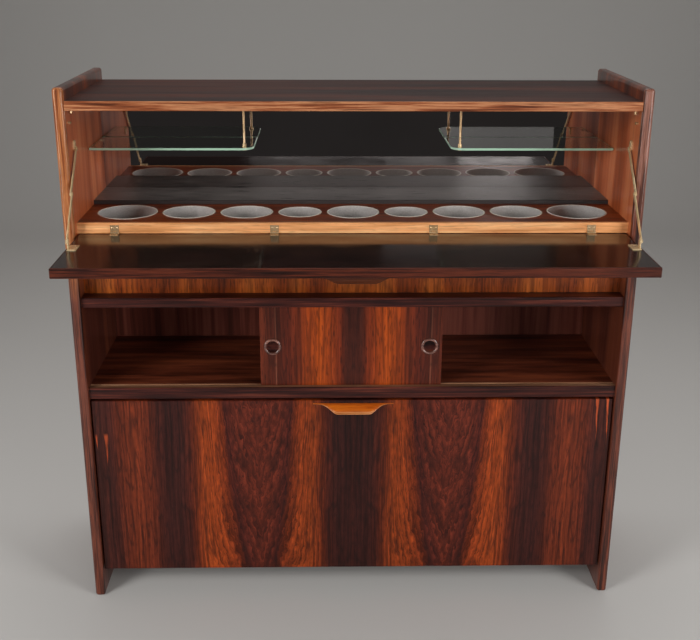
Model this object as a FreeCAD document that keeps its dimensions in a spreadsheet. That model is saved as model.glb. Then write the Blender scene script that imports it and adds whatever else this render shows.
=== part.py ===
import FreeCAD, Part
import math
import os
import re
import Sketcher

# Rosewood bar cabinet with a fold-out shelf, as a parametric document in millimetres.
# The barkeeper's side faces -Y, X runs along the front and +Z is up. The origin is on the floor, in the
# middle of the room that the cabinet takes up with its shelf folded out, which is how the model rests.

Vector = FreeCAD.Vector
Rotation = FreeCAD.Rotation

# Driving dimensions: name, millimetres, what it measures
SIZES = [
    ("side_thickness", 22, "slab sides, which are also the feet"),
    ("side_round", 6.5, "rounding of the sides' edges"),
    ("side_rise", 26, "sides above the top"),
    ("top_thickness", 19.5, "top panel"),
    ("top_setback", 3, "top's front edge behind the sides' front"),
    ("top_back_setback", 11, "top's back edge ahead of the sides' back"),
    ("foot_height", 66, "floor to bottom panel"),
    ("bottom_thickness", 22, "bottom panel"),
    ("lower_opening", 408, "height inside the lower compartment"),
    ("lower_shelf_thickness", 26, "shelf over the lower compartment"),
    ("sliding_opening", 185, "height of the compartment with the sliding door"),
    ("mid_shelf_thickness", 22, "shelf under the bottle well"),
    ("well_height", 137, "height of the bottle well"),
    ("deck_thickness", 22, "deck board that holds the cups"),
    ("bar_opening", 234.5, "deck to the underside of the top"),
    ("shelf_setback", 10, "shelves and lower door behind the sides' front"),
    ("edge_round", 2, "rounding of shelf, flap and door edges"),
    ("back_thickness", 18, "back panel, on the guests' side"),
    ("guest_recess", 30, "back panel ahead of the sides' back"),
    ("deck_setback", 27, "deck's front behind the sides' front"),
    ("lipping_depth", 8, "light strip along the deck's front"),
    ("well_setback", 44, "well front panel behind the sides' front"),
    ("well_panel_thickness", 12, "panel in front of the cups"),
    ("cup_large", 126, "hole for a large bottle cup"),
    ("cup_medium", 110, "hole for a medium bottle cup"),
    ("cup_small", 90.5, "hole for a small bottle cup"),
    ("cup_web", 15.25, "wood left between two cup holes"),
    ("cup_end_margin", 25.5, "last cup hole to the side panel"),
    ("cup_front_gap", 5, "well panel to the large cups"),
    ("cup_depth", 110, "cup from its rim to its bottom"),
    ("cup_wall", 1.2, "cup wall and bottom"),
    ("cup_flange", 2, "rim beyond the hole"),
    ("cup_flange_thickness", 1, "rim above the deck"),
    ("cup_clearance", 0.3, "cup inside its hole, all round"),
    ("slab_gap", 13, "large cup holes to the serving slab"),
    ("slab_depth", 137, "serving slab, front to mirror"),
    ("slab_thickness", 9, "serving slab above the deck"),
    ("mirror_thickness", 4, "bar mirror"),
    ("glass_height", 123, "glass shelf above the deck"),
    ("glass_thickness", 5, "glass shelf"),
    ("glass_depth", 149, "glass shelf, front to back"),
    ("glass_length", 359, "glass shelf, along the front"),
    ("glass_gap", 1, "glass shelf to the wall and the mirror"),
    ("glass_corner", 28, "rounding of the free front corner"),
    ("hanger_diameter", 5, "rod that hangs the glass shelf from the top"),
    ("hanger_end_inset", 22, "rod from the shelf's free end"),
    ("hanger_front_inset", 33, "rod from the shelf's front"),
    ("hanger_clearance", 0.3, "rod inside the holes of the glass and the nut"),
    ("rose_diameter", 14, "disc that carries the rod under the top"),
    ("rose_thickness", 2, "disc that carries the rod under the top"),
    ("collar_diameter", 9, "collar of the rod on top of the glass"),
    ("collar_height", 4, "collar of the rod on top of the glass"),
    ("nut_diameter", 11, "nut under the glass"),
    ("nut_height", 5, "nut under the glass"),
    ("shelf_pin_diameter", 5, "wall pin under the glass"),
    ("shelf_pin_reach", 10, "wall pin out of the wall"),
    ("shelf_pin_inset", 28, "wall pin from the shelf's front and back"),
    ("socket_depth", 8, "pins and studs into the wall"),
    ("socket_clearance", 0.05, "pins and studs in their sockets, all round"),
    ("track_lip", 3, "shelf nosing in front of the track"),
    ("track_width", 21, "sliding door track"),
    ("track_thickness", 6, "sliding door track"),
    ("groove_inset", 11, "track's front to its groove"),
    ("groove_width", 8, "grooves below and above the sliding door"),
    ("groove_depth", 4, "groove in the track"),
    ("head_groove_depth", 8, "groove in the shelf above"),
    ("sliding_width", 396, "sliding door"),
    ("sliding_thickness", 12, "sliding door"),
    ("sliding_offset", -5, "sliding door's middle at rest"),
    ("sliding_bottom_gap", 0.6, "door's shoulder above the track"),
    ("sliding_top_gap", 1, "door's shoulder below the shelf"),
    ("tongue_thickness", 7.4, "tongue along the door's top and bottom"),
    ("tongue_float", 0.3, "bottom tongue above the groove's floor"),
    ("tongue_rise", 6, "top tongue above its shoulder"),
    ("finger_diameter", 38, "turned finger pull"),
    ("finger_bead", 6, "width of its rounded rim"),
    ("finger_depth", 9, "finger pull into the door"),
    ("finger_floor", 2, "wood under its hollow"),
    ("finger_inset", 27, "its middle from the door's end"),
    ("finger_height", 91, "its middle above the shelf"),
    ("finger_clearance", 0.1, "finger pull in its hole, all round"),
    ("flap_thickness", 20, "fold-out shelf"),
    ("flap_side_gap", 3, "flap to the side panels"),
    ("flap_top_gap", 1.5, "closed flap to the top"),
    ("flap_hang", 1, "opened flap below the deck"),
    ("flap_tail", 1.5, "flap and lower door beyond their hinge axes"),
    ("laminate_thickness", 1, "black laminate on the flap's inner face"),
    ("laminate_border", 4, "wood edge round the laminate"),
    ("door_thickness", 20, "lower door"),
    ("door_side_gap", 2.5, "lower door to the side panels"),
    ("door_top_gap", 5, "lower door to the shelf above"),
    ("pull_width", 178, "lip pull along the door"),
    ("pull_flat", 69, "straight middle of the lip"),
    ("pull_drop", 19, "top line to the lip's lower edge"),
    ("pull_reach", 21, "lip out of the door"),
    ("pull_root", 12, "height of the pull on the door's face"),
    ("pull_lip", 4, "thickness of the lip's round nose"),
    ("pull_tip", 1.5, "height of the pull's pointed ends"),
    ("pull_hollow", 2, "hollow of its upper face"),
    ("pull_undercut", 3, "hollow of its under face, for the fingers"),
    ("flap_pull_edge", 16, "pull's top line to the flap's free edge"),
    ("door_pull_edge", 7, "pull's top line to the lower door's free edge"),
    ("hinge_end_inset", 78, "outer hinge to the side panel"),
    ("hinge_width", 18, "hinge along its axis"),
    ("hinge_offset", 2.5, "axis in front of both faces that carry the leaves"),
    ("leaf_height", 16, "hinge axis to the leaf's end"),
    ("leaf_thickness", 1, "hinge leaf"),
    ("leaf_screw_rise", 10, "screws from the hinge axis"),
    ("leaf_screw_spread", 5, "screws from the hinge's middle"),
    ("knuckle_radius", 2.4, "rolled knuckle"),
    ("knuckle_gap", 0.3, "between a knuckle and its neighbours"),
    ("hinge_pin_radius", 1.2, "hinge pin"),
    ("running_clearance", 0.05, "pin in a turning bore, all round"),
    ("stay_wall_back", 33.5, "stay's wall pivot behind the hinge axis"),
    ("stay_wall_rise", 170.5, "stay's wall pivot above the hinge axis"),
    ("stay_reach", 117.5, "stay's other pivot from the hinge axis, along the flap"),
    ("stay_eye", 15, "stay's other pivot off the flap's inner face"),
    ("link_width", 9, "stay link"),
    ("link_thickness", 2, "stay link"),
    ("layer_gap", 0.3, "link to its plate or bracket"),
    ("elbow_gap", 0.4, "between the two links"),
    ("elbow_boss_radius", 3.4, "rivet boss at the elbow"),
    ("elbow_boss_height", 0.8, "rivet boss at the elbow"),
    ("post_radius", 2.5, "pivot post of a plate or bracket"),
    ("post_head_radius", 4, "riveted head of a pivot post"),
    ("post_head_height", 0.7, "riveted head of a pivot post"),
    ("plate_thickness", 3, "wall plate of a stay"),
    ("plate_width", 12, "wall plate of a stay"),
    ("plate_length", 12, "wall plate, pivot to the middle of its upper end"),
    ("plate_screw_low", 8.5, "wall plate's lower screw above the pivot"),
    ("plate_screw_high", 14.5, "wall plate's upper screw above the pivot"),
    ("bracket_length", 37, "stay bracket along the reach"),
    ("bracket_width", 18, "stay bracket across"),
    ("bracket_thickness", 2, "stay bracket"),
    ("bracket_lead", 13, "bracket's outer end beyond the pivot"),
    ("bracket_screw_inset", 7, "bracket screws from its ends"),
    ("bracket_screw_across", 11, "bracket screws from the ear's outer face"),
    ("ear_width", 12, "upright ear of the bracket"),
    ("stud_diameter", 6, "stop stud on the wall, behind the closed flap"),
    ("stud_reach", 6, "stop stud out of the wall"),
    ("stud_drop", 26.5, "stop stud below the top"),
    ("stop_gap", 0.3, "closed flap to its stops"),
    ("peg_length", 8, "stop peg under the top"),
    ("peg_inset", 7, "stop peg from the wall"),
    ("catch_width", 40, "magnet catch under the shelf"),
    ("catch_depth", 20, "magnet catch under the shelf"),
    ("catch_height", 14, "magnet catch under the shelf"),
    ("catch_inset", 178, "catch's middle from the side panel"),
    ("catch_gap", 0.3, "catch to its strike"),
    ("strike_width", 30, "strike plate on the lower door"),
    ("strike_height", 8, "strike plate on the lower door"),
    ("strike_thickness", 1, "strike plate on the lower door"),
    ("screw_head_radius", 2.4, "wood screw"),
    ("screw_head_height", 0.9, "wood screw"),
    ("screw_radius", 1.3, "wood screw's shank"),
    ("screw_length", 7, "wood screw below its head"),
    ("screw_clearance", 0.1, "wood screw in its hole"),
    ("overrun", 1, "cutting tools beyond what they cut"),
]

# Places and sizes that follow from the driving ones: name, formula, what it measures
LAYOUT = [
    ("inner_half", "cup_medium / 2 + cup_small + cup_medium * 2 + cup_large + cup_web * 4 + cup_end_margin",
     "middle to a side panel: the row of cups sets the width"),
    ("lower_shelf_z", "foot_height + bottom_thickness + lower_opening", "underside of the lower shelf"),
    ("lower_shelf_top", "lower_shelf_z + lower_shelf_thickness", "top of the lower shelf"),
    ("mid_shelf_z", "lower_shelf_top + sliding_opening", "underside of the middle shelf"),
    ("mid_shelf_top", "mid_shelf_z + mid_shelf_thickness", "top of the middle shelf"),
    ("deck_z", "mid_shelf_top + well_height", "underside of the deck"),
    ("deck_top", "deck_z + deck_thickness", "top of the deck"),
    ("top_z", "deck_top + bar_opening", "underside of the top"),
    ("side_height", "top_z + top_thickness + side_rise", "height of the cabinet"),
    ("cup_row", "well_setback + well_panel_thickness + cup_front_gap + cup_large / 2",
     "cup centres behind the front"),
    ("slab_setback", "cup_row + cup_large / 2 + slab_gap", "serving slab's front behind the front"),
    ("mirror_setback", "slab_setback + slab_depth", "mirror's face behind the front"),
    ("panel_setback", "mirror_setback + mirror_thickness", "back panel's inner face behind the front"),
    ("side_depth", "panel_setback + back_thickness + guest_recess", "depth of the side panels"),
    ("flap_axis_z", "deck_z - flap_hang + hinge_offset", "flap's hinge axis"),
    ("flap_length", "top_z - flap_top_gap - flap_axis_z", "flap from its axis to its free edge"),
    ("flap_axis_setback", "deck_setback - hinge_offset", "flap's hinge axis behind the front"),
    ("front_y", "(flap_length - flap_axis_setback - side_depth) / 2", "front of the side panels"),
    ("flap_axis_y", "front_y + flap_axis_setback", "flap's hinge axis"),
    ("flap_half", "inner_half - flap_side_gap", "half the flap's width"),
    ("flap_face_z", "flap_axis_z - hinge_offset", "opened flap's inner face"),
    ("flap_edge_y", "flap_axis_y - flap_length", "opened flap's free edge"),
    ("door_face_y", "front_y + shelf_setback + door_thickness", "lower door's inner face"),
    ("door_axis_y", "door_face_y + hinge_offset", "lower door's hinge axis"),
    ("door_axis_z", "foot_height + flap_tail", "lower door's hinge axis"),
    ("door_half", "inner_half - door_side_gap", "half the lower door's width"),
    ("door_top_z", "lower_shelf_z - door_top_gap", "lower door's free edge"),
    ("bottom_front_y", "door_axis_y + hinge_offset", "bottom panel's front edge"),
    ("track_y", "front_y + shelf_setback + track_lip", "track's front"),
    ("groove_y", "track_y + groove_inset", "front of both grooves"),
    ("sliding_y", "groove_y + groove_width / 2", "middle of the sliding door's thickness"),
    ("glass_z", "deck_top + glass_height", "underside of the glass shelves"),
    ("glass_back_y", "front_y + mirror_setback - glass_gap", "back edge of the glass shelves"),
    ("glass_front_y", "glass_back_y - glass_depth", "front edge of the glass shelves"),
    ("glass_end_x", "inner_half - glass_gap - glass_length", "free end of the glass shelf"),
    ("hanger_x", "glass_end_x + hanger_end_inset", "hanger rod"),
    ("hanger_y", "glass_front_y + hanger_front_inset", "hanger rod"),
    ("stop_y", "flap_axis_y - hinge_offset + stop_gap + stud_diameter / 2", "stops behind the closed flap"),
    ("stay_off", "stay_eye - hinge_offset", "stay's other pivot above the opened flap's axis"),
    ("link_length", "hypot(stay_reach + stay_wall_back; stay_wall_rise - stay_off) / 2", "pivot to elbow"),
    ("open_turn", "atan2(stay_wall_rise - stay_off; stay_reach + stay_wall_back)",
     "rise of the straight stay"),
    ("fold_chord", "hypot(stay_wall_back - stay_off; stay_wall_rise - stay_reach)",
     "pivot to pivot when folded"),
    ("fold_turn", "atan2(stay_wall_rise - stay_reach; stay_wall_back - stay_off)", "rise of that chord"),
    ("fold_angle", "acos(fold_chord / 2 / link_length)", "between that chord and each link"),
    ("upper_link_x", "inner_half - plate_thickness - layer_gap - link_thickness",
     "inner face of the upper links"),
    ("lower_link_x", "upper_link_x - elbow_gap - link_thickness", "inner face of the lower links"),
    ("ear_x", "lower_link_x - layer_gap", "outer face of the bracket ears"),
    ("knuckle_length", "(hinge_width - knuckle_gap * 2) / 3", "one of a hinge's three knuckles"),
    ("door_height", "door_top_z - foot_height", "lower door"),
]

# The ways a piece drawn upright at its own origin is turned into place
UPRIGHT = Rotation()
OPENED = Rotation(Vector(1, 0, 0), 90)
LAID_BACK = Rotation(Vector(1, 0, 0), -90)
ALONG_X = Rotation(Vector(0, 1, 0), 90)
INTO_WALL = Rotation(Vector(0, 1, 0), -90)
ALONG_Y = LAID_BACK
FACING_FRONT = OPENED

# How closely an edge has to lie on a side to count as lying on it
TOUCHING = 1e-6

doc = FreeCAD.newDocument("bar_cabinet")
cell_homes = {}
sub_parts = []


def expression(formula):
    """Point each name in a formula at the sheet that holds it."""
    return re.sub(r"[a-z]\w*", lambda found: cell_homes.get(found.group(), "") + found.group(), formula)


def fill_sheet(name, rows, cell_text):
    """Make a sheet with one named cell for each row."""
    sheet = doc.addObject("Spreadsheet::Sheet", name)
    for number, (alias, value, note) in enumerate(rows, start=1):
        sheet.set(f"A{number}", note)
        sheet.set(f"B{number}", cell_text(value))
        sheet.setAlias(f"B{number}", alias)
        cell_homes[alias] = name + "."
    doc.recompute()
    return sheet


sizes = fill_sheet("Sizes", SIZES, str)
layout = fill_sheet("Layout", LAYOUT, lambda formula: "=" + expression(formula))


def size(name):
    """Read one named cell, for the few shapes that are worked out in code."""
    return float(getattr(sizes if cell_homes[name] == "Sizes." else layout, name))


def place(thing, x, y, z, turn=UPRIGHT):
    """Put a thing's own origin at x, y, z, turned by a fixed rotation."""
    thing.Placement = FreeCAD.Placement(Vector(), turn)
    for axis, formula in zip("xyz", (x, y, z)):
        thing.setExpression(f"Placement.Base.{axis}", expression(formula))
    return thing


def block(length, depth, height, x, y, z):
    """Make a box with its low corner at x, y, z."""
    box = doc.addObject("Part::Box", "block")
    for name, formula in zip(("Length", "Width", "Height"), (length, depth, height)):
        box.setExpression(name, expression(formula))
    return place(box, x, y, z)


def rod(radius, height, x, y, z, turn=UPRIGHT):
    """Make a cylinder that starts at x, y, z and runs along its turned axis."""
    cylinder = doc.addObject("Part::Cylinder", "rod")
    cylinder.setExpression("Radius", expression(radius))
    cylinder.setExpression("Height", expression(height))
    return place(cylinder, x, y, z, turn)


def group(members):
    """Gather separate solids."""
    compound = doc.addObject("Part::Compound", "group")
    compound.Links = members
    return compound


def fuse(*members):
    """Join shapes into one solid."""
    joined = doc.addObject("Part::MultiFuse", "joined")
    joined.Shapes = members
    return joined


def cut(base, *tools):
    """Take the tools' shapes out of a base."""
    result = doc.addObject("Part::Cut", "cut")
    result.Base = base
    result.Tool = group(tools)
    return result


def mirror(source):
    """Make the left-hand twin of a right-hand thing."""
    twin = doc.addObject("Part::Mirroring", "twin")
    twin.Source = source
    twin.Normal = Vector(1, 0, 0)
    return twin


def copy(template, x, y, z, turn=UPRIGHT):
    """Place another of a piece that is drawn at its own origin."""
    link = doc.addObject("App::Link", "copy")
    link.LinkedObject = template
    return place(link, x, y, z, turn)


def keep(node, thing):
    """Name a finished sub-part."""
    thing.Label = node
    sub_parts.append(thing)
    return thing


def keep_pair(node, right):
    """Name a right-hand sub-part and its left-hand twin."""
    keep("right_" + node, right)
    keep("left_" + node, mirror(right))


def sketch_on(body, role):
    """Start a sketch on one of a body's own origin planes."""
    sketch = body.newObject("Sketcher::SketchObject", body.Name + "_sketch")
    plane = next(feature for feature in body.Origin.OriginFeatures if feature.Role == role)
    sketch.AttachmentSupport = [(plane, "")]
    sketch.MapMode = "FlatFace"
    return sketch


def dimension(sketch, name, formula, *constraint):
    """Add a named dimension to a sketch and bind it to the sheets."""
    index = sketch.addConstraint(Sketcher.Constraint(*constraint))
    sketch.renameConstraint(index, name)
    sketch.setExpression("Constraints." + name, expression(formula))


def pad(body, sketch, length, backwards=False):
    """Pad a sketch of a body."""
    feature = body.newObject("PartDesign::Pad", body.Name + "_pad")
    feature.Profile = sketch
    feature.setExpression("Length", expression(length))
    feature.Reversed = backwards
    return feature


def board(name, length, depth, height, x, y, z):
    """Make a board: a rectangle on the floor plane, padded upwards, its low corner at x, y, z."""
    body = doc.addObject("PartDesign::Body", name)
    sketch = sketch_on(body, "XY_Plane")
    corners = [Vector(0, 0), Vector(1, 0), Vector(1, 1), Vector(0, 1)]
    for number, corner in enumerate(corners):
        sketch.addGeometry(Part.LineSegment(corner, corners[(number + 1) % 4]), False)
    for number, direction in enumerate(("Horizontal", "Vertical", "Horizontal", "Vertical")):
        sketch.addConstraint(Sketcher.Constraint("Coincident", number, 2, (number + 1) % 4, 1))
        sketch.addConstraint(Sketcher.Constraint(direction, number))
    sketch.addConstraint(Sketcher.Constraint("Coincident", 0, 1, -1, 1))
    dimension(sketch, "length", length, "DistanceX", 0, 1, 0, 2, 1)
    dimension(sketch, "depth", depth, "DistanceY", 1, 1, 1, 2, 1)
    pad(body, sketch, height)
    return place(body, x, y, z)


def edge_lies_on(edge, box, side):
    """Say whether an edge lies on one side of a box: XMin, XMax, YMin, YMax, ZMin or ZMax."""
    level = getattr(box, side)
    near, far = getattr(edge.BoundBox, side[0] + "Min"), getattr(edge.BoundBox, side[0] + "Max")
    return math.isclose(near, level, abs_tol=TOUCHING) and math.isclose(far, level, abs_tol=TOUCHING)


def round_edges(body, radius, pairs):
    """Round the edges of a body that lie on both sides of a pair, for each pair."""
    doc.recompute()
    tip = body.Tip
    box = tip.Shape.BoundBox
    chosen = [
        f"Edge{number}"
        for number, edge in enumerate(tip.Shape.Edges, start=1)
        if any(all(edge_lies_on(edge, box, side) for side in pair) for pair in pairs)
    ]
    fillet = body.newObject("PartDesign::Fillet", body.Name + "_rounding")
    fillet.Base = (tip, chosen)
    fillet.setExpression("Radius", expression(radius))
    return body


FRONT_EDGES = [("YMin", "ZMin"), ("YMin", "ZMax")]
BACK_EDGES = [("YMax", "ZMin"), ("YMax", "ZMax")]
END_EDGES = [("XMin", "ZMin"), ("XMin", "ZMax"), ("XMax", "ZMin"), ("XMax", "ZMax")]
CORNER_EDGES = [("XMin", "YMin"), ("XMin", "YMax"), ("XMax", "YMin"), ("XMax", "YMax")]


def oblong(name, length, width, thickness):
    """Make a flat bar with round ends: it lies in the YZ plane, from its own origin along +Y."""
    body = doc.addObject("PartDesign::Body", name)
    sketch = sketch_on(body, "YZ_Plane")
    normal, near, far = Vector(0, 0, 1), Vector(0, 0), Vector(size(length), 0)
    radius = size(width) / 2
    rise = Vector(0, radius)
    quarter = math.pi / 2
    sketch.addGeometry(Part.ArcOfCircle(Part.Circle(near, normal, radius), quarter, 3 * quarter), False)
    sketch.addGeometry(Part.LineSegment(near - rise, far - rise), False)
    sketch.addGeometry(Part.ArcOfCircle(Part.Circle(far, normal, radius), -quarter, quarter), False)
    sketch.addGeometry(Part.LineSegment(far + rise, near + rise), False)
    for number in range(4):
        sketch.addConstraint(Sketcher.Constraint("Tangent", number, 2, (number + 1) % 4, 1))
    sketch.addConstraint(Sketcher.Constraint("Coincident", 0, 3, -1, 1))
    sketch.addConstraint(Sketcher.Constraint("Horizontal", 1))
    sketch.addConstraint(Sketcher.Constraint("Equal", 0, 2))
    dimension(sketch, "radius", f"{width} / 2", "Radius", 0, 1)
    dimension(sketch, "length", length, "DistanceX", 0, 3, 2, 3, 4)
    pad(body, sketch, thickness)
    return body


def boss(body, radius, along, height, backwards):
    """Add a round boss to an oblong, at a distance along it."""
    sketch = sketch_on(body, "YZ_Plane")
    sketch.addGeometry(Part.Circle(Vector(size(along), 0), Vector(0, 0, 1), size(radius)), False)
    dimension(sketch, "radius", radius, "Radius", 0, 1)
    dimension(sketch, "along", along, "DistanceX", -1, 1, 0, 3, 4)
    sketch.addConstraint(Sketcher.Constraint("PointOnObject", 0, 3, -1))
    pad(body, sketch, height, backwards)


# Wood screws: one is drawn head up with its seat at its own origin, and one drill to match
screw = fuse(
    rod("screw_head_radius", "screw_head_height", "0", "0", "0"),
    rod("screw_radius", "screw_length", "0", "0", "-screw_length"),
)
drill = group([
    rod("screw_radius + screw_clearance", "screw_length + screw_clearance + overrun",
        "0", "0", "-screw_length - screw_clearance"),
])


def screws_and_drills(places):
    """Make the screws of some places, and the drills for what they go through.

    Each place is x, y, z of the screw's seat and the way that the screw is turned.
    """
    screws = [copy(screw, x, y, z, turn) for x, y, z, turn in places]
    drills = [copy(drill, x, y, z, turn) for x, y, z, turn in places]
    return screws, group(drills)


# Hinges: four on the flap and four on the lower door, evenly spaced
HINGE_SHARES = (-1, -1 / 3, 1 / 3, 1)
HINGE_PLACES = [f"{share} * (inner_half - hinge_end_inset)" for share in HINGE_SHARES]


def knuckle(x):
    """Make one rolled knuckle of a hinge, on the X axis."""
    return rod("knuckle_radius", "knuckle_length", x, "0", "0", ALONG_X)


def leaf_plate(face):
    """Make the flat of a hinge leaf, above the knuckles, with its low Y at a face."""
    return block("hinge_width", "leaf_thickness", "leaf_height - knuckle_radius - knuckle_gap",
                 "-hinge_width / 2", face, "knuckle_radius + knuckle_gap")


def leaf_tab(x, face):
    """Make the strip that joins a knuckle to its leaf."""
    return block("knuckle_length", "leaf_thickness", "knuckle_radius + knuckle_gap + leaf_thickness",
                 x, face, "0")


def leaf_drills():
    """Drill a leaf for its screws, at the leaf's own origin."""
    return group([
        rod("screw_radius + screw_clearance", "hinge_offset * 2 + overrun * 2", f"{side} * leaf_screw_spread",
            "-hinge_offset - overrun", "leaf_screw_rise", ALONG_Y)
        for side in (-1, 1)
    ])


FIXED_FACE = "hinge_offset - leaf_thickness"
MOVING_FACE = "-hinge_offset"
KNUCKLE_STARTS = ("-hinge_width / 2", "-knuckle_length / 2", "hinge_width / 2 - knuckle_length")

fixed_leaf = cut(
    fuse(
        leaf_plate(FIXED_FACE),
        knuckle(KNUCKLE_STARTS[0]),
        knuckle(KNUCKLE_STARTS[2]),
        leaf_tab(KNUCKLE_STARTS[0], FIXED_FACE),
        leaf_tab(KNUCKLE_STARTS[2], FIXED_FACE),
    ),
    rod("hinge_pin_radius", "hinge_width + overrun * 2", "-hinge_width / 2 - overrun", "0", "0", ALONG_X),
    leaf_drills(),
)
moving_leaf = cut(
    fuse(
        leaf_plate(MOVING_FACE),
        knuckle(KNUCKLE_STARTS[1]),
        leaf_tab(KNUCKLE_STARTS[1], MOVING_FACE),
    ),
    rod("hinge_pin_radius + running_clearance", "hinge_width + overrun * 2",
        "-hinge_width / 2 - overrun", "0", "0", ALONG_X),
    leaf_drills(),
)
hinge_pin = group([rod("hinge_pin_radius", "hinge_width", "-hinge_width / 2", "0", "0", ALONG_X)])


def hinges(axis_y, axis_z, moving_turn):
    """Place a row of hinges: fixed leaves, moving leaves and pins."""
    fixed = group([copy(fixed_leaf, x, axis_y, axis_z) for x in HINGE_PLACES])
    moving = group([copy(moving_leaf, x, axis_y, axis_z, moving_turn) for x in HINGE_PLACES])
    pins = group([copy(hinge_pin, x, axis_y, axis_z) for x in HINGE_PLACES])
    return fixed, moving, pins


def leaf_screws(y, z, turn):
    """List the places of the screws in a row of leaves."""
    return [(f"{x} + {side} * leaf_screw_spread", y, z, turn) for x in HINGE_PLACES for side in (-1, 1)]


# Folding stays: a wall plate, two links and a bracket on the flap or door, all drawn for the right-hand side
def wall_plate(axis_y, axis_z):
    """Make a stay's wall plate with its riveted pivot post."""
    y, z = f"{axis_y} + stay_wall_back", f"{axis_z} + stay_wall_rise"
    plate = place(oblong("wall_plate", "plate_length", "plate_width", "plate_thickness"),
                  "inner_half - plate_thickness", y, z, OPENED)
    post = rod("post_radius", "plate_thickness + link_thickness + layer_gap * 2",
               "upper_link_x - layer_gap", y, z, ALONG_X)
    head = rod("post_head_radius", "post_head_height",
               "upper_link_x - layer_gap - post_head_height", y, z, ALONG_X)
    return fuse(plate, post, head)


def wall_plate_screws(axis_y, axis_z):
    """List the places of a wall plate's screws."""
    y, z = f"{axis_y} + stay_wall_back", f"{axis_z} + stay_wall_rise"
    return [
        ("inner_half - plate_thickness", y, f"{z} + {rise}", INTO_WALL)
        for rise in ("plate_screw_low", "plate_screw_high")
    ]


def stay_link(name, x, y, z, turn, boss_backwards):
    """Make one link of a stay: turned about its bored pivot by an angle from +Y, with a boss at its elbow."""
    bar = oblong(name, "link_length", "link_width", "link_thickness")
    boss_height = "elbow_boss_height" if boss_backwards else "link_thickness + elbow_boss_height"
    boss(bar, "elbow_boss_radius", "link_length", boss_height, boss_backwards)
    place(bar, x, y, z, OPENED)
    bar.setExpression("Placement.Rotation.Angle", expression(turn))
    bore = rod("post_radius + running_clearance", "link_thickness + overrun * 2",
               f"{x} - overrun", y, z, ALONG_X)
    return cut(bar, bore)


def stay_bracket():
    """Make a stay bracket at its pivot: its ear's outer face at X 0, its base below, as on the open flap."""
    base = block("bracket_width", "bracket_length", "bracket_thickness",
                 "-bracket_width", "-bracket_lead", "-stay_eye")
    ear = block("bracket_thickness", "ear_width", "stay_eye",
                "-bracket_thickness", "-ear_width / 2", "-stay_eye")
    ear_top = rod("ear_width / 2", "bracket_thickness", "-bracket_thickness", "0", "0", ALONG_X)
    post = rod("post_radius", "bracket_thickness + link_thickness + layer_gap * 2",
               "-bracket_thickness", "0", "0", ALONG_X)
    head = rod("post_head_radius", "post_head_height", "link_thickness + layer_gap * 2", "0", "0", ALONG_X)
    drills = [
        rod("screw_radius + screw_clearance", "bracket_thickness + overrun * 2", "-bracket_screw_across",
            along, "-stay_eye - overrun")
        for along in BRACKET_SCREWS
    ]
    return cut(fuse(base, ear, ear_top, post, head), *drills)


BRACKET_SCREWS = ("-bracket_lead + bracket_screw_inset",
                  "-bracket_lead + bracket_length - bracket_screw_inset")
bracket = stay_bracket()


# Carcass: what is let into the side panels
shelf_pin_places = [
    (f"glass_{end}_y {sign} shelf_pin_inset", "glass_z - shelf_pin_diameter / 2")
    for end, sign in (("front", "+"), ("back", "-"))
]
right_pins = group([
    rod("shelf_pin_diameter / 2", "shelf_pin_reach + socket_depth",
        "inner_half - shelf_pin_reach", y, z, ALONG_X)
    for y, z in shelf_pin_places
])
keep("shelf_pins", group([right_pins, mirror(right_pins)]))

right_stud = rod("stud_diameter / 2", "stud_reach + socket_depth", "inner_half - stud_reach", "stop_y",
                 "top_z - stud_drop", ALONG_X)
keep("flap_stop_studs", group([right_stud, mirror(right_stud)]))

right_peg = rod("stud_diameter / 2", "peg_length", "inner_half - peg_inset", "stop_y", "top_z - peg_length")
keep("flap_stop_pegs", group([right_peg, mirror(right_peg)]))

sockets = [
    rod("shelf_pin_diameter / 2 + socket_clearance", "socket_depth + socket_clearance + overrun",
        "inner_half - overrun", y, z, ALONG_X)
    for y, z in shelf_pin_places
]
sockets.append(rod("stud_diameter / 2 + socket_clearance", "socket_depth + socket_clearance + overrun",
                   "inner_half - overrun", "stop_y", "top_z - stud_drop", ALONG_X))

STAY_AXES = (("flap_axis_y", "flap_axis_z"), ("door_axis_y", "door_axis_z"))
plate_places = [spot for axis_y, axis_z in STAY_AXES for spot in wall_plate_screws(axis_y, axis_z)]
plate_screws, plate_drills = screws_and_drills(plate_places)
right_plates = group([cut(wall_plate(axis_y, axis_z), plate_drills) for axis_y, axis_z in STAY_AXES])
keep("stay_wall_plates", group([right_plates, mirror(right_plates)]))

# Carcass: slab sides, top, back and bottom
side = board("side", "side_thickness", "side_depth", "side_height", "inner_half", "front_y", "0")
round_edges(side, "side_round", FRONT_EDGES + BACK_EDGES + END_EDGES + CORNER_EDGES)
keep_pair("side_panel", cut(side, plate_drills, *sockets))

top = board("top", "inner_half * 2", "side_depth - top_setback - top_back_setback", "top_thickness",
            "-inner_half", "front_y + top_setback", "top_z")
keep("top_panel", round_edges(top, "edge_round", FRONT_EDGES + BACK_EDGES))

keep("back_panel", board("back", "inner_half * 2", "back_thickness", "top_z - foot_height",
                         "-inner_half", "front_y + panel_setback", "foot_height"))

door_fixed_places = leaf_screws("door_axis_y + hinge_offset - leaf_thickness",
                                "door_axis_z + leaf_screw_rise", FACING_FRONT)
door_fixed_screws, door_fixed_drills = screws_and_drills(door_fixed_places)
bottom = board("bottom", "inner_half * 2", "front_y + panel_setback - bottom_front_y", "bottom_thickness",
               "-inner_half", "bottom_front_y", "foot_height")
keep("bottom_panel", cut(bottom, door_fixed_drills))

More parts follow.
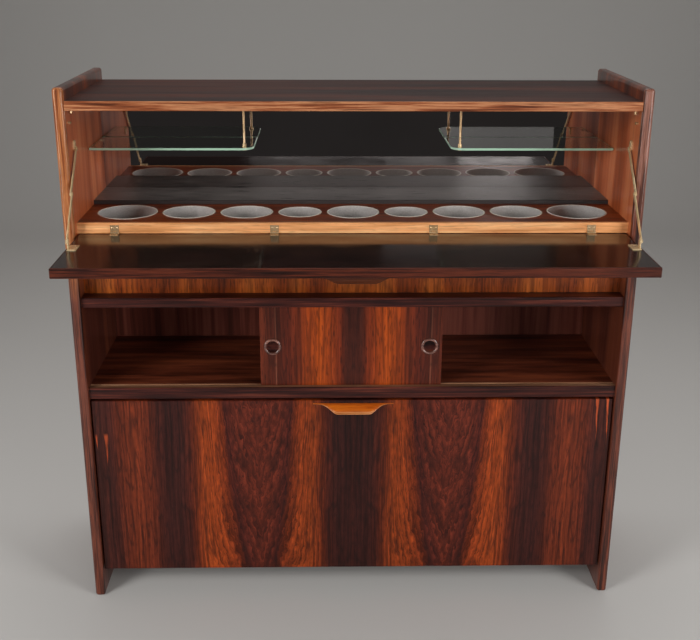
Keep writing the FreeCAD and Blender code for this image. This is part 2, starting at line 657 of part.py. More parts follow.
# Carcass: shelves, with the sliding door's track and grooves
lower_shelf = board("lower", "inner_half * 2", "panel_setback - shelf_setback", "lower_shelf_thickness",
                    "-inner_half", "front_y + shelf_setback", "lower_shelf_z")
round_edges(lower_shelf, "edge_round", FRONT_EDGES)
track_rebate = block("(inner_half + overrun) * 2", "track_width", "track_thickness + overrun",
                     "-inner_half - overrun", "track_y", "lower_shelf_top - track_thickness")
keep("lower_shelf", cut(lower_shelf, track_rebate))

track = board("track", "inner_half * 2", "track_width", "track_thickness",
              "-inner_half", "track_y", "lower_shelf_top - track_thickness")
track_groove = block("(inner_half + overrun) * 2", "groove_width", "groove_depth + overrun",
                     "-inner_half - overrun", "groove_y", "lower_shelf_top - groove_depth")
keep("door_track", cut(track, track_groove))

mid_shelf = board("middle", "inner_half * 2", "panel_setback - shelf_setback", "mid_shelf_thickness",
                  "-inner_half", "front_y + shelf_setback", "mid_shelf_z")
round_edges(mid_shelf, "edge_round", FRONT_EDGES)
head_groove = block("(inner_half + overrun) * 2", "groove_width", "head_groove_depth + overrun",
                    "-inner_half - overrun", "groove_y", "mid_shelf_z - overrun")
keep("mid_shelf", cut(mid_shelf, head_groove))

# Bottle well: deck, lipping, front panel and the row of cups
keep("well_front_panel", board("well", "inner_half * 2", "well_panel_thickness", "well_height",
                               "-inner_half", "front_y + well_setback", "mid_shelf_top"))

flap_fixed_places = leaf_screws("flap_axis_y + hinge_offset - leaf_thickness",
                                "flap_axis_z + leaf_screw_rise", FACING_FRONT)
flap_fixed_screws, flap_fixed_drills = screws_and_drills(flap_fixed_places)
lipping = board("lipping", "inner_half * 2", "lipping_depth", "deck_thickness",
                "-inner_half", "front_y + deck_setback", "deck_z")
keep("deck_lipping", cut(lipping, flap_fixed_drills))

near_cup = "(cup_medium / 2 + cup_web + cup_small / 2)"
third_cup = "(cup_medium + cup_web * 2 + cup_small)"
fourth_cup = f"({third_cup} + cup_medium + cup_web)"
end_cup = f"({fourth_cup} + cup_medium / 2 + cup_web + cup_large / 2)"
CUPS = [
    (f"-{end_cup}", "cup_large"),
    (f"-{fourth_cup}", "cup_medium"),
    (f"-{third_cup}", "cup_medium"),
    (f"-{near_cup}", "cup_small"),
    ("0", "cup_medium"),
    (near_cup, "cup_small"),
    (third_cup, "cup_medium"),
    (fourth_cup, "cup_medium"),
    (end_cup, "cup_large"),
]
deck = board("deck", "inner_half * 2", "panel_setback - deck_setback - lipping_depth", "deck_thickness",
             "-inner_half", "front_y + deck_setback + lipping_depth", "deck_z")
cup_holes = [
    rod(f"{bore} / 2", "deck_thickness + overrun * 2", x, "front_y + cup_row", "deck_z - overrun")
    for x, bore in CUPS
]
keep("deck_board", cut(deck, *cup_holes))

for number, (x, bore) in enumerate(CUPS, start=1):
    y = "front_y + cup_row"
    outer = f"{bore} / 2 - cup_clearance"
    beaker = rod(outer, "cup_depth", x, y, "deck_top - cup_depth")
    rim = rod(f"{bore} / 2 + cup_flange", "cup_flange_thickness", x, y, "deck_top")
    hollow = rod(f"{outer} - cup_wall", "cup_depth + cup_flange_thickness - cup_wall + overrun", x, y,
                 "deck_top - cup_depth + cup_wall")
    keep(f"bottle_cup_{number}", cut(fuse(beaker, rim), hollow))

# Bar compartment: serving slab, mirror and hung glass shelves
slab = board("slab", "inner_half * 2", "slab_depth", "slab_thickness",
             "-inner_half", "front_y + slab_setback", "deck_top")
keep("serving_slab", round_edges(slab, "edge_round", [("YMin", "ZMax")]))
keep("bar_mirror", board("mirror", "inner_half * 2", "mirror_thickness", "bar_opening",
                         "-inner_half", "front_y + mirror_setback", "deck_top"))

glass = board("glass", "glass_length", "glass_depth", "glass_thickness",
              "glass_end_x", "glass_front_y", "glass_z")
round_edges(glass, "glass_corner", [("XMin", "YMin")])
glass_hole = rod("hanger_diameter / 2 + hanger_clearance", "glass_thickness + overrun * 2",
                 "hanger_x", "hanger_y", "glass_z - overrun")
keep_pair("glass_shelf", cut(glass, glass_hole))

hanger = fuse(
    rod("hanger_diameter / 2", "top_z - glass_z + nut_height",
        "hanger_x", "hanger_y", "glass_z - nut_height"),
    rod("rose_diameter / 2", "rose_thickness", "hanger_x", "hanger_y", "top_z - rose_thickness"),
    rod("collar_diameter / 2", "collar_height", "hanger_x", "hanger_y", "glass_z + glass_thickness"),
)
keep_pair("shelf_hanger", hanger)
right_nut = cut(
    rod("nut_diameter / 2", "nut_height", "hanger_x", "hanger_y", "glass_z - nut_height"),
    rod("hanger_diameter / 2 + hanger_clearance", "nut_height + overrun * 2", "hanger_x", "hanger_y",
        "glass_z - nut_height - overrun"),
)
keep("hanger_nuts", group([right_nut, mirror(right_nut)]))


# Lip pulls: a wedge with a hollow upper face and an undercut, its ends drawn out to points
TIP_ARC_SHARE = 0.7


def shallow_arc(start, end, sagitta):
    """Make an arc from start to end in the YZ plane that rises above its chord by a sagitta."""
    chord = end - start
    middle = (start + end) / 2 + Vector(0, -chord.z, chord.y).normalize() * sagitta
    return Part.Arc(start, middle, end).toShape()


def lip_end(side, reach):
    """List the points of the pull's S-shaped end: a long arc from its tip, then a short one to the lip's middle."""
    run = (size("pull_width") - size("pull_flat")) / 2
    fall = size("pull_drop") - size("pull_tip")
    radius = (run * run + fall * fall) / (2 * fall)
    half_turn = math.atan2(fall, run)
    bow = Vector(radius * math.sin(half_turn), 0, radius * (1 - math.cos(half_turn)))
    tip = Vector(size("pull_width") / 2, reach, -size("pull_tip"))
    middle = tip - Vector(run, 0, fall) * TIP_ARC_SHARE
    root = tip - Vector(run, 0, fall)
    points = [tip, tip - bow * TIP_ARC_SHARE, middle, root + bow * (1 - TIP_ARC_SHARE), root]
    return [Vector(side * point.x, point.y, point.z) for point in points]


def pull_shape():
    """Make a lip pull with its top line at its own origin, on a door's face at Y 0 that looks to -Y."""
    reach, drop, lip = size("pull_reach"), size("pull_drop"), size("pull_lip")
    top = Vector(0, 0, 0)
    nose_top = Vector(0, lip / 2 - reach, lip - drop)
    nose = Vector(0, -reach, lip / 2 - drop)
    nose_low = Vector(0, lip / 2 - reach, -drop)
    root = Vector(0, 0, -size("pull_root"))
    section = Part.Wire([
        shallow_arc(top, nose_top, size("pull_hollow")),
        Part.Arc(nose_top, nose, nose_low).toShape(),
        shallow_arc(nose_low, root, size("pull_undercut")),
        Part.LineSegment(root, top).toShape(),
    ])
    half = size("pull_width") / 2
    wedge = Part.Face(section).extrude(Vector(size("pull_width"), 0, 0))
    wedge.translate(Vector(-half, 0, 0))

    front = -reach - size("overrun")
    left, right = lip_end(-1, front), lip_end(1, front)
    above = size("overrun")
    corner_left, corner_right = Vector(-half, front, above), Vector(half, front, above)
    outline = Part.Wire([
        Part.LineSegment(corner_left, left[0]).toShape(),
        Part.Arc(*left[0:3]).toShape(),
        Part.Arc(*left[2:5]).toShape(),
        Part.LineSegment(left[4], right[4]).toShape(),
        Part.Arc(*right[4:1:-1]).toShape(),
        Part.Arc(*right[2::-1]).toShape(),
        Part.LineSegment(right[0], corner_right).toShape(),
        Part.LineSegment(corner_right, corner_left).toShape(),
    ])
    prism = Part.Face(outline).extrude(Vector(0, reach + size("overrun") * 2, 0))
    return wedge.common(prism).Solids[0]


def pull(node, y, z, turn):
    """Place a lip pull."""
    feature = doc.addObject("Part::Feature", "pull")
    feature.Shape = pull_shape()
    keep(node, place(feature, "0", y, z, turn))


# Fold-out flap, opened: its black inner face is up
flap = board("flap", "flap_half * 2", "flap_length + flap_tail", "flap_thickness",
             "-flap_half", "flap_edge_y", "flap_face_z - flap_thickness")
round_edges(flap, "edge_round", FRONT_EDGES + END_EDGES + CORNER_EDGES[0::2])
laminate_size = ("(flap_half - laminate_border) * 2", "flap_length + flap_tail - laminate_border * 2")
laminate_corner = ("-flap_half + laminate_border", "flap_edge_y + laminate_border",
                   "flap_face_z - laminate_thickness")
recess = block(*laminate_size, "laminate_thickness + overrun", *laminate_corner)
laminate = board("laminate", *laminate_size, "laminate_thickness", *laminate_corner)

flap_pivot = ("ear_x", "flap_axis_y - stay_reach", "flap_axis_z + stay_off")
flap_leaf_places = leaf_screws("flap_axis_y - leaf_screw_rise", "flap_face_z + leaf_thickness", UPRIGHT)
flap_bracket_places = [
    ("ear_x - bracket_screw_across", f"{flap_pivot[1]} + {along}", "flap_face_z + bracket_thickness", UPRIGHT)
    for along in BRACKET_SCREWS
]
flap_leaf_screws, flap_leaf_drills = screws_and_drills(flap_leaf_places)
flap_bracket_screws, flap_bracket_drills = screws_and_drills(flap_bracket_places)
flap_drills = (flap_leaf_drills, flap_bracket_drills, mirror(flap_bracket_drills))
keep("flap_panel", cut(flap, recess, *flap_drills))
keep("flap_laminate", cut(laminate, *flap_drills))
pull("flap_pull", "flap_edge_y + flap_pull_edge", "flap_face_z - flap_thickness", OPENED)

flap_fixed, flap_moving, flap_pins = hinges("flap_axis_y", "flap_axis_z", OPENED)
keep("flap_hinge_fixed_leaves", flap_fixed)
keep("flap_hinge_moving_leaves", flap_moving)
keep("flap_hinge_pins", flap_pins)

right_flap_bracket = group([copy(bracket, *flap_pivot)])
keep("flap_stay_brackets", group([right_flap_bracket, mirror(right_flap_bracket)]))
flap_bracket_pair = group(flap_bracket_screws)
keep("flap_screws", group(flap_leaf_screws + [flap_bracket_pair, mirror(flap_bracket_pair)]))

keep_pair("flap_stay_upper_link",
          stay_link("flap_upper_link", "upper_link_x", "flap_axis_y + stay_wall_back",
                    "flap_axis_z + stay_wall_rise", "180 deg + open_turn", False))
keep_pair("flap_stay_lower_link",
          stay_link("flap_lower_link", "lower_link_x", flap_pivot[1], flap_pivot[2], "open_turn", True))

# Sliding door, with a turned finger pull at each end
sliding_panel = fuse(
    block("sliding_width", "sliding_thickness", "sliding_opening - sliding_bottom_gap - sliding_top_gap",
          "sliding_offset - sliding_width / 2", "sliding_y - sliding_thickness / 2",
          "lower_shelf_top + sliding_bottom_gap"),
    block("sliding_width", "tongue_thickness",
          "sliding_opening - sliding_top_gap + tongue_rise + groove_depth - tongue_float",
          "sliding_offset - sliding_width / 2", "sliding_y - tongue_thickness / 2",
          "lower_shelf_top - groove_depth + tongue_float"),
)
finger_face = "sliding_y - sliding_thickness / 2"
finger_z = "lower_shelf_top + finger_height"
finger_holes = []
for side_name, sign in (("left", "-"), ("right", "+")):
    x = f"sliding_offset {sign} (sliding_width / 2 - finger_inset)"
    finger_holes.append(rod("finger_diameter / 2 + finger_clearance", "finger_depth + overrun", x,
                            f"{finger_face} - overrun", finger_z, ALONG_Y))
    plug = rod("finger_diameter / 2", "finger_depth", x, finger_face, finger_z, ALONG_Y)
    bead = doc.addObject("Part::Torus", "bead")
    bead.setExpression("Radius1", expression("(finger_diameter - finger_bead) / 2"))
    bead.setExpression("Radius2", expression("finger_bead / 2"))
    place(bead, x, finger_face, finger_z, ALONG_Y)
    dish = rod("finger_diameter / 2 - finger_bead", "finger_depth - finger_floor + finger_bead", x,
               f"{finger_face} - finger_bead", finger_z, ALONG_Y)
    keep(f"{side_name}_finger_pull", cut(fuse(plug, bead), dish))
keep("sliding_door_panel", cut(sliding_panel, *finger_holes))

# Lower drop-front door, closed
lower_door = board("lower_door", "door_half * 2", "door_thickness", "door_height",
                   "-door_half", "front_y + shelf_setback", "foot_height")
round_edges(lower_door, "edge_round", FRONT_EDGES + [("XMin", "YMin"), ("XMax", "YMin")])
door_pivot = ("ear_x", "door_axis_y + stay_off", "door_axis_z + stay_reach")
door_leaf_places = leaf_screws("door_face_y + leaf_thickness", "door_axis_z + leaf_screw_rise", LAID_BACK)
door_bracket_places = [
    ("ear_x - bracket_screw_across", "door_face_y + bracket_thickness",
     f"{door_pivot[2]} - ({along})", LAID_BACK)
    for along in BRACKET_SCREWS
]
door_leaf_screws, door_leaf_drills = screws_and_drills(door_leaf_places)
door_bracket_screws, door_bracket_drills = screws_and_drills(door_bracket_places)
keep("lower_door_panel", cut(lower_door, door_leaf_drills, door_bracket_drills, mirror(door_bracket_drills)))
pull("lower_door_pull", "front_y + shelf_setback", "door_top_z - door_pull_edge", UPRIGHT)

door_fixed, door_moving, door_pins = hinges("door_axis_y", "door_axis_z", UPRIGHT)
keep("door_hinge_fixed_leaves", door_fixed)
keep("door_hinge_moving_leaves", door_moving)
keep("door_hinge_pins", door_pins)

right_door_bracket = group([copy(bracket, *door_pivot, LAID_BACK)])
keep("door_stay_brackets", group([right_door_bracket, mirror(right_door_bracket)]))
door_bracket_pair = group(door_bracket_screws)
keep("door_screws", group(door_leaf_screws + [door_bracket_pair, mirror(door_bracket_pair)]))

keep_pair("door_stay_upper_link",
          stay_link("door_upper_link", "upper_link_x", "door_axis_y + stay_wall_back",
                    "door_axis_z + stay_wall_rise", "180 deg + fold_turn + fold_angle", False))
keep_pair("door_stay_lower_link",
          stay_link("door_lower_link", "lower_link_x", door_pivot[1], door_pivot[2],
                    "fold_turn - fold_angle", True))

# Magnet catches under the lower shelf, and their strikes on the lower door
right_catch = block("catch_width", "catch_depth", "catch_height",
                    "inner_half - catch_inset - catch_width / 2",
                    "door_face_y + strike_thickness + catch_gap", "lower_shelf_z - catch_height")
keep("door_catches", group([right_catch, mirror(right_catch)]))
right_strike = block("strike_width", "strike_thickness", "strike_height",
                     "inner_half - catch_inset - strike_width / 2", "door_face_y",
                     "door_top_z - edge_round - strike_height")
keep("door_strikes", group([right_strike, mirror(right_strike)]))

# Screws that stay with the carcass
plate_screw_group = group(plate_screws)
keep("carcass_screws",
     group(flap_fixed_screws + door_fixed_screws + [plate_screw_group, mirror(plate_screw_group)]))

doc.recompute()


def check():
    """Stop if any object failed, any sub-part is unsound or any cut took nothing away."""
    for thing in doc.Objects:
        if {"Invalid", "Error"} & set(thing.State):
            raise RuntimeError(f"{thing.Name} failed: {thing.State}")
        if thing.TypeId == "Part::Cut" and not thing.Shape.Volume < thing.Base.Shape.Volume:
            raise RuntimeError(f"{thing.Label} took nothing away")
    for thing in sub_parts:
        if thing.Shape.isNull() or not thing.Shape.isValid() or not thing.Shape.Solids:
            raise RuntimeError(f"{thing.Label} is not a sound solid")


check()
os.makedirs("parts", exist_ok=True)
for thing in sub_parts:
    thing.Shape.exportStep(f"parts/{thing.Label}.step")
    box = thing.Shape.BoundBox
    print(f"{thing.Label}: {len(thing.Shape.Solids)} solids, x {box.XMin:.1f} to {box.XMax:.1f}, "
          f"y {box.YMin:.1f} to {box.YMax:.1f}, z {box.ZMin:.1f} to {box.ZMax:.1f}")
print(f"{len(sub_parts)} sub-parts")
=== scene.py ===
import logging
import math
from abc import ABC, abstractmethod
from dataclasses import dataclass, field
from enum import Enum
from typing import ClassVar

import bmesh
import bpy
import numpy as np
from mathutils import Matrix, Vector


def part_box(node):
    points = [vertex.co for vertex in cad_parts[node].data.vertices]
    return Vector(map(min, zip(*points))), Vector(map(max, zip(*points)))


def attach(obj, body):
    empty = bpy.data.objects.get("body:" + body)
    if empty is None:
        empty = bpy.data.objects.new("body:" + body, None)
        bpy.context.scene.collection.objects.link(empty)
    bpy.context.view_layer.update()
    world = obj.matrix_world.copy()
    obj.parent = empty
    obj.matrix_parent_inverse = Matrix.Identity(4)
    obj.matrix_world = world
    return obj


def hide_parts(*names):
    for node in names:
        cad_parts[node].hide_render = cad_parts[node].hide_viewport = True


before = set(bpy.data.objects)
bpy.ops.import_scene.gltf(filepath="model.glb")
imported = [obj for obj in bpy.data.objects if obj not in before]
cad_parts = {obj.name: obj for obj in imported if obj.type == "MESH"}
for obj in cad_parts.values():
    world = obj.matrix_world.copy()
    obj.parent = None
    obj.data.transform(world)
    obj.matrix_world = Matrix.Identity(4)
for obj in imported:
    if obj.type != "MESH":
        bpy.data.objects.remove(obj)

# Looks of a rosewood bar cabinet. The barkeeper's side faces -Y and its fold-out shelf is open.
# Sizes in the classes are millimetres, as in the part's source, and meshes are metres.

log = logging.getLogger("bar_cabinet")
Node = bpy.types.Node
Piece = bpy.types.Object
Socket = bpy.types.NodeSocket
Tree = bpy.types.NodeTree
Size = tuple[float, float, float]
Stops = tuple[tuple[float, str], ...]

MM = 0.001
UP = Vector((0, 0, 1))
SHARP_ANGLE = math.radians(34)
MERGE_MM = 0.002
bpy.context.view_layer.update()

# Noise gathers round its middle, so each use stretches the part of its reach that holds most values. A range
# node takes its value, the two ends of that reach, and what they become.
NOISE_MIDDLE = 0.5
STREAK_REACH = (0.34, 0.66)
CURL_REACH = (0.32, 0.68)
SHEEN_REACH = (0.30, 0.70)
PORE_REACH = (0.55, 0.68)
VEIN_REACH = 0.045
BLEND = {"data_type": "RGBA", "out": 2}
LACQUER_IOR = 1.5
GLASS_IOR = 1.52
COAT_ROUGHNESS = 0.16
RELIEF = 0.2 * MM
SEAM_MM = 0.3


def linear(code: str) -> tuple[float, float, float, float]:
    """Turn an sRGB hex colour into linear RGBA.

    Args:
        code: the colour as "#RRGGBB".

    Returns:
        Linear red, green and blue, and an alpha of 1.
    """
    shares = np.array([int(code[start:start + 2], 16) / 255 for start in (1, 3, 5)])
    values = np.where(shares <= 0.04045, shares / 12.92, ((shares + 0.055) / 1.055) ** 2.4)
    return (*values.tolist(), 1.0)


def plug(tree: Tree, node: Node, inputs: dict) -> None:
    """Link a socket to each of a node's inputs, or set a value there.

    Args:
        tree: the node's tree.
        node: the node.
        inputs: a socket or a value for each input, by name or number.
    """
    for key, value in inputs.items():
        if isinstance(value, Socket):
            tree.links.new(value, node.inputs[key])
        else:
            node.inputs[key].default_value = value


def add(tree: Tree, kind: str, inputs: dict | list | tuple = (), stops: Stops = (), out: int | str = 0,
        **settings: object) -> Socket:
    """Add a shader node with its settings and links.

    Args:
        tree: the node tree to add it to.
        kind: the node's type name, less its "ShaderNode".
        inputs: a socket to link, or a value to set, for each input, in order or by name or number.
        stops: place and hex colour of each stop, for a node that has a colour ramp.
        out: the output to give back.
        settings: the node's own properties.

    Returns:
        The output. The node's others are at its node.
    """
    node = tree.nodes.new("ShaderNode" + kind)
    for name, value in settings.items():
        setattr(node, name, value)
    plug(tree, node, inputs if isinstance(inputs, dict) else dict(enumerate(inputs)))
    if stops:
        elements = node.color_ramp.elements
        while len(elements) < len(stops):
            elements.new(1.0)
        for element, (place, code) in zip(elements, stops):
            element.position = place
            element.color = linear(code)
    return node.outputs[out]


def mottle(tree: Tree, space: Socket, lengths: Size, detail: float, roughness: float = 0.5) -> Socket:
    """Add cloudy variation whose patches have given lengths.

    Args:
        tree: the material's node tree.
        space: the coordinates that it follows.
        lengths: about how long a patch is along each coordinate, in the coordinate's unit.
        detail: how many finer layers it has.
        roughness: how strong the finer layers are.

    Returns:
        Values round the noise's middle.
    """
    sized = add(tree, "Mapping", {"Vector": space, "Scale": tuple(1 / length for length in lengths)})
    return add(tree, "TexNoise", {"Vector": sized, "Scale": 1.0, "Detail": detail, "Roughness": roughness})


def tones(places: tuple[float, ...], codes: str) -> Stops:
    """Pair the places of a colour ramp's stops with their hex colours, which stand in one text."""
    return tuple(zip(places, codes.split()))


class Grain(Enum):
    """The way that the grain runs: two coordinates across it, then the one along it."""

    X = ("Y", "Z", "X")
    Y = ("Z", "X", "Y")
    Z = ("X", "Y", "Z")


@dataclass(frozen=True)
class Finish(ABC):
    """A surface finish, named for its real material and how that was made."""

    name: str

    @abstractmethod
    def draw(self, tree: Tree, shader: Node) -> None:
        """Set the shader and add the pattern's nodes.

        Args:
            tree: the material's node tree.
            shader: its shader node.
        """

    def material(self) -> bpy.types.Material:
        """Give the finish's material, made on first use.

        Returns:
            The material, shared by all pieces of this finish.
        """
        found = bpy.data.materials.get(self.name)
        if found:
            return found
        made = bpy.data.materials.new(self.name)
        made.use_nodes = True
        self.draw(made.node_tree, made.node_tree.nodes["Principled BSDF"])
        return made


@dataclass(frozen=True)
class Patch:
    """A lipping or lining on one side of a board: all beyond a limit on one coordinate, with its own grain.

    A side of 1 takes what lies above the limit, and -1 what lies below. Lit tones may take over above a
    height, as painted light over painted shade below it, and the patch may end at a top.
    """

    coordinate: str
    limit_mm: float
    side: int
    grain: Grain
    tones: Stops
    lit_upper_tones: Stops = ()
    upper_mm: float = 780.0
    fade_mm: float = 60.0
    streak_mm: Size = (6.0, 6.0, 190.0)
    top_mm: float | None = None


# Lacquered rosewood veneer: red-brown with orange and near-black bands that run with the grain, finer streaks
# inside them, inky veins, and open pores that show as short dark flecks under a satin lacquer. Real pores are
# 0.3 mm wide and too fine for the render, so they are drawn two to three millimetres wide.
@dataclass(frozen=True)
class Rosewood(Finish):
    """Sliced or solid rosewood. Three lengths in millimetres are across the grain twice, then along it."""

    grain: Grain
    tones: Stops
    band_mm: float = 46.0
    band_stretch: float = 20.0
    wander_mm: float = 26.0
    drift_mm: Size = (240.0, 240.0, 800.0)
    streak_mm: Size = (5.0, 5.0, 260.0)
    streak_contrast: float = 0.40
    vein_mm: Size = (26.0, 26.0, 300.0)
    vein_depth: float = 0.45
    pore_mm: Size = (2.6, 2.6, 24.0)
    pore_depth: float = 0.55
    pore_relief: float = 0.12
    pore_tone: str = "#160b09"
    offset_mm: Size = (0.0, 0.0, 0.0)
    roughness: float = 0.36
    smoother: float = 0.05
    rougher: float = 0.06
    specular: float = 0.2
    coat: float = 0.0
    patches: tuple[Patch, ...] = ()

    def coordinates(self, tree: Tree) -> tuple[Socket, Socket]:
        """Give the surface's own place in millimetres.

        Args:
            tree: the material's node tree.

        Returns:
            The plain coordinates, and the same turned so that the third one runs with the grain.
        """
        place = add(tree, "TexCoord", out="Object")
        plain = add(tree, "VectorMath", {0: place, "Scale": 1 / MM}, operation="SCALE")
        parts = add(tree, "SeparateXYZ", (plain,)).node.outputs
        turned = add(tree, "CombineXYZ", [parts[name] for name in self.grain.value])
        return plain, add(tree, "VectorMath", (turned, self.offset_mm), operation="ADD")

    def figure(self, tree: Tree, plain: Socket, space: Socket) -> tuple[Socket, Socket]:
        """Draw the broad bands of colour.

        Args:
            tree: the material's node tree.
            plain: plain millimetre coordinates.
            space: coordinates with the grain along the third one.

        Returns:
            The bands' colour, and the coordinates that the finer streaks follow.
        """
        wander = mottle(tree, space, self.drift_mm, detail=1.0)
        sway = (2 * self.wander_mm, 2 * self.wander_mm, 0.0)
        warped = add(tree, "VectorMath", (wander, sway, space), operation="MULTIPLY_ADD")
        band = (self.band_mm, self.band_mm, self.band_mm * self.band_stretch)
        bands = mottle(tree, warped, band, detail=2.5, roughness=0.55)
        return add(tree, "ValToRGB", (bands,), self.tones), warped

    def lipped(self, tree: Tree, plain: Socket, colour: Socket) -> Socket:
        """Paint the board's lippings and linings.

        Args:
            tree: the material's node tree.
            plain: plain millimetre coordinates.
            colour: the veneer's colour.

        Returns:
            The colour with the lippings.
        """
        parts = add(tree, "SeparateXYZ", (plain,)).node.outputs
        for patch in self.patches:
            turned = add(tree, "CombineXYZ", [parts[name] for name in patch.grain.value])
            wood = mottle(tree, turned, patch.streak_mm, detail=5.0, roughness=0.62)
            solid = add(tree, "ValToRGB", (wood,), patch.tones)
            # Lit tones above a height: painted light there, and painted shade in the tones below.
            if patch.lit_upper_tones:
                lit_solid = add(tree, "ValToRGB", (wood,), patch.lit_upper_tones)
                low, high = patch.upper_mm - patch.fade_mm, patch.upper_mm + patch.fade_mm
                rise = add(tree, "MapRange", (parts["Z"], low, high))
                solid = add(tree, "Mix", {0: rise, 6: solid, 7: lit_solid}, **BLEND)
            near, far = patch.limit_mm - SEAM_MM * patch.side, patch.limit_mm + SEAM_MM * patch.side
            mask = add(tree, "MapRange", (parts[patch.coordinate], near, far))
            if patch.top_mm is not None:
                under = add(tree, "Math", (parts["Z"], patch.top_mm), operation="LESS_THAN")
                mask = add(tree, "Math", (mask, under), operation="MULTIPLY")
            colour = add(tree, "Mix", {0: mask, 6: colour, 7: solid}, **BLEND)
        return colour

    def draw(self, tree: Tree, shader: Node) -> None:
        """Set the shader and add the pattern's nodes.

        Args:
            tree: the material's node tree.
            shader: its shader node.
        """
        plain, space = self.coordinates(tree)
        colour, flow = self.figure(tree, plain, space)
        streaks = mottle(tree, flow, self.streak_mm, detail=4.0, roughness=0.62)
        swing = self.streak_contrast
        shade = add(tree, "MapRange", (streaks, *STREAK_REACH, 1 - swing, 1 + swing))
        shaded = add(tree, "HueSaturation", {"Value": shade, "Color": colour})
        grit = mottle(tree, flow, self.pore_mm, detail=1.0)
        pores = add(tree, "MapRange", (grit, *PORE_REACH, 0.0, self.pore_depth))
        rings = mottle(tree, flow, self.vein_mm, detail=1.5)
        beside = add(tree, "Math", (rings, NOISE_MIDDLE), operation="SUBTRACT")
        near = add(tree, "Math", (beside,), operation="ABSOLUTE")
        veins = add(tree, "MapRange", (near, 0.0, VEIN_REACH, self.vein_depth, 0.0))
        ink = add(tree, "Math", (pores, veins), operation="MAXIMUM")
        pored = add(tree, "Mix", {0: ink, 6: shaded, 7: linear(self.pore_tone)}, **BLEND)
        smooth, rough = self.roughness - self.smoother, self.roughness + self.rougher
        sheen = add(tree, "MapRange", (streaks, *SHEEN_REACH, smooth, rough))
        sunk = {"Height": pores, "Strength": self.pore_relief, "Distance": RELIEF}
        dips = add(tree, "Bump", sunk, invert=True)
        plug(tree, shader, {"Base Color": self.lipped(tree, plain, pored), "Roughness": sheen, "Normal": dips,
                            "IOR": LACQUER_IOR, "Specular IOR Level": self.specular,
                            "Coat Weight": self.coat, "Coat Roughness": COAT_ROUGHNESS})


@dataclass(frozen=True)
class Tongue:
    """A tongue of sapwood in a veneer: blunt at its upper end and drawn out to a point at its lower one."""

    upper_x_mm: float
    lower_x_mm: float
    upper_z_mm: float
    lower_z_mm: float
    half_mm: float


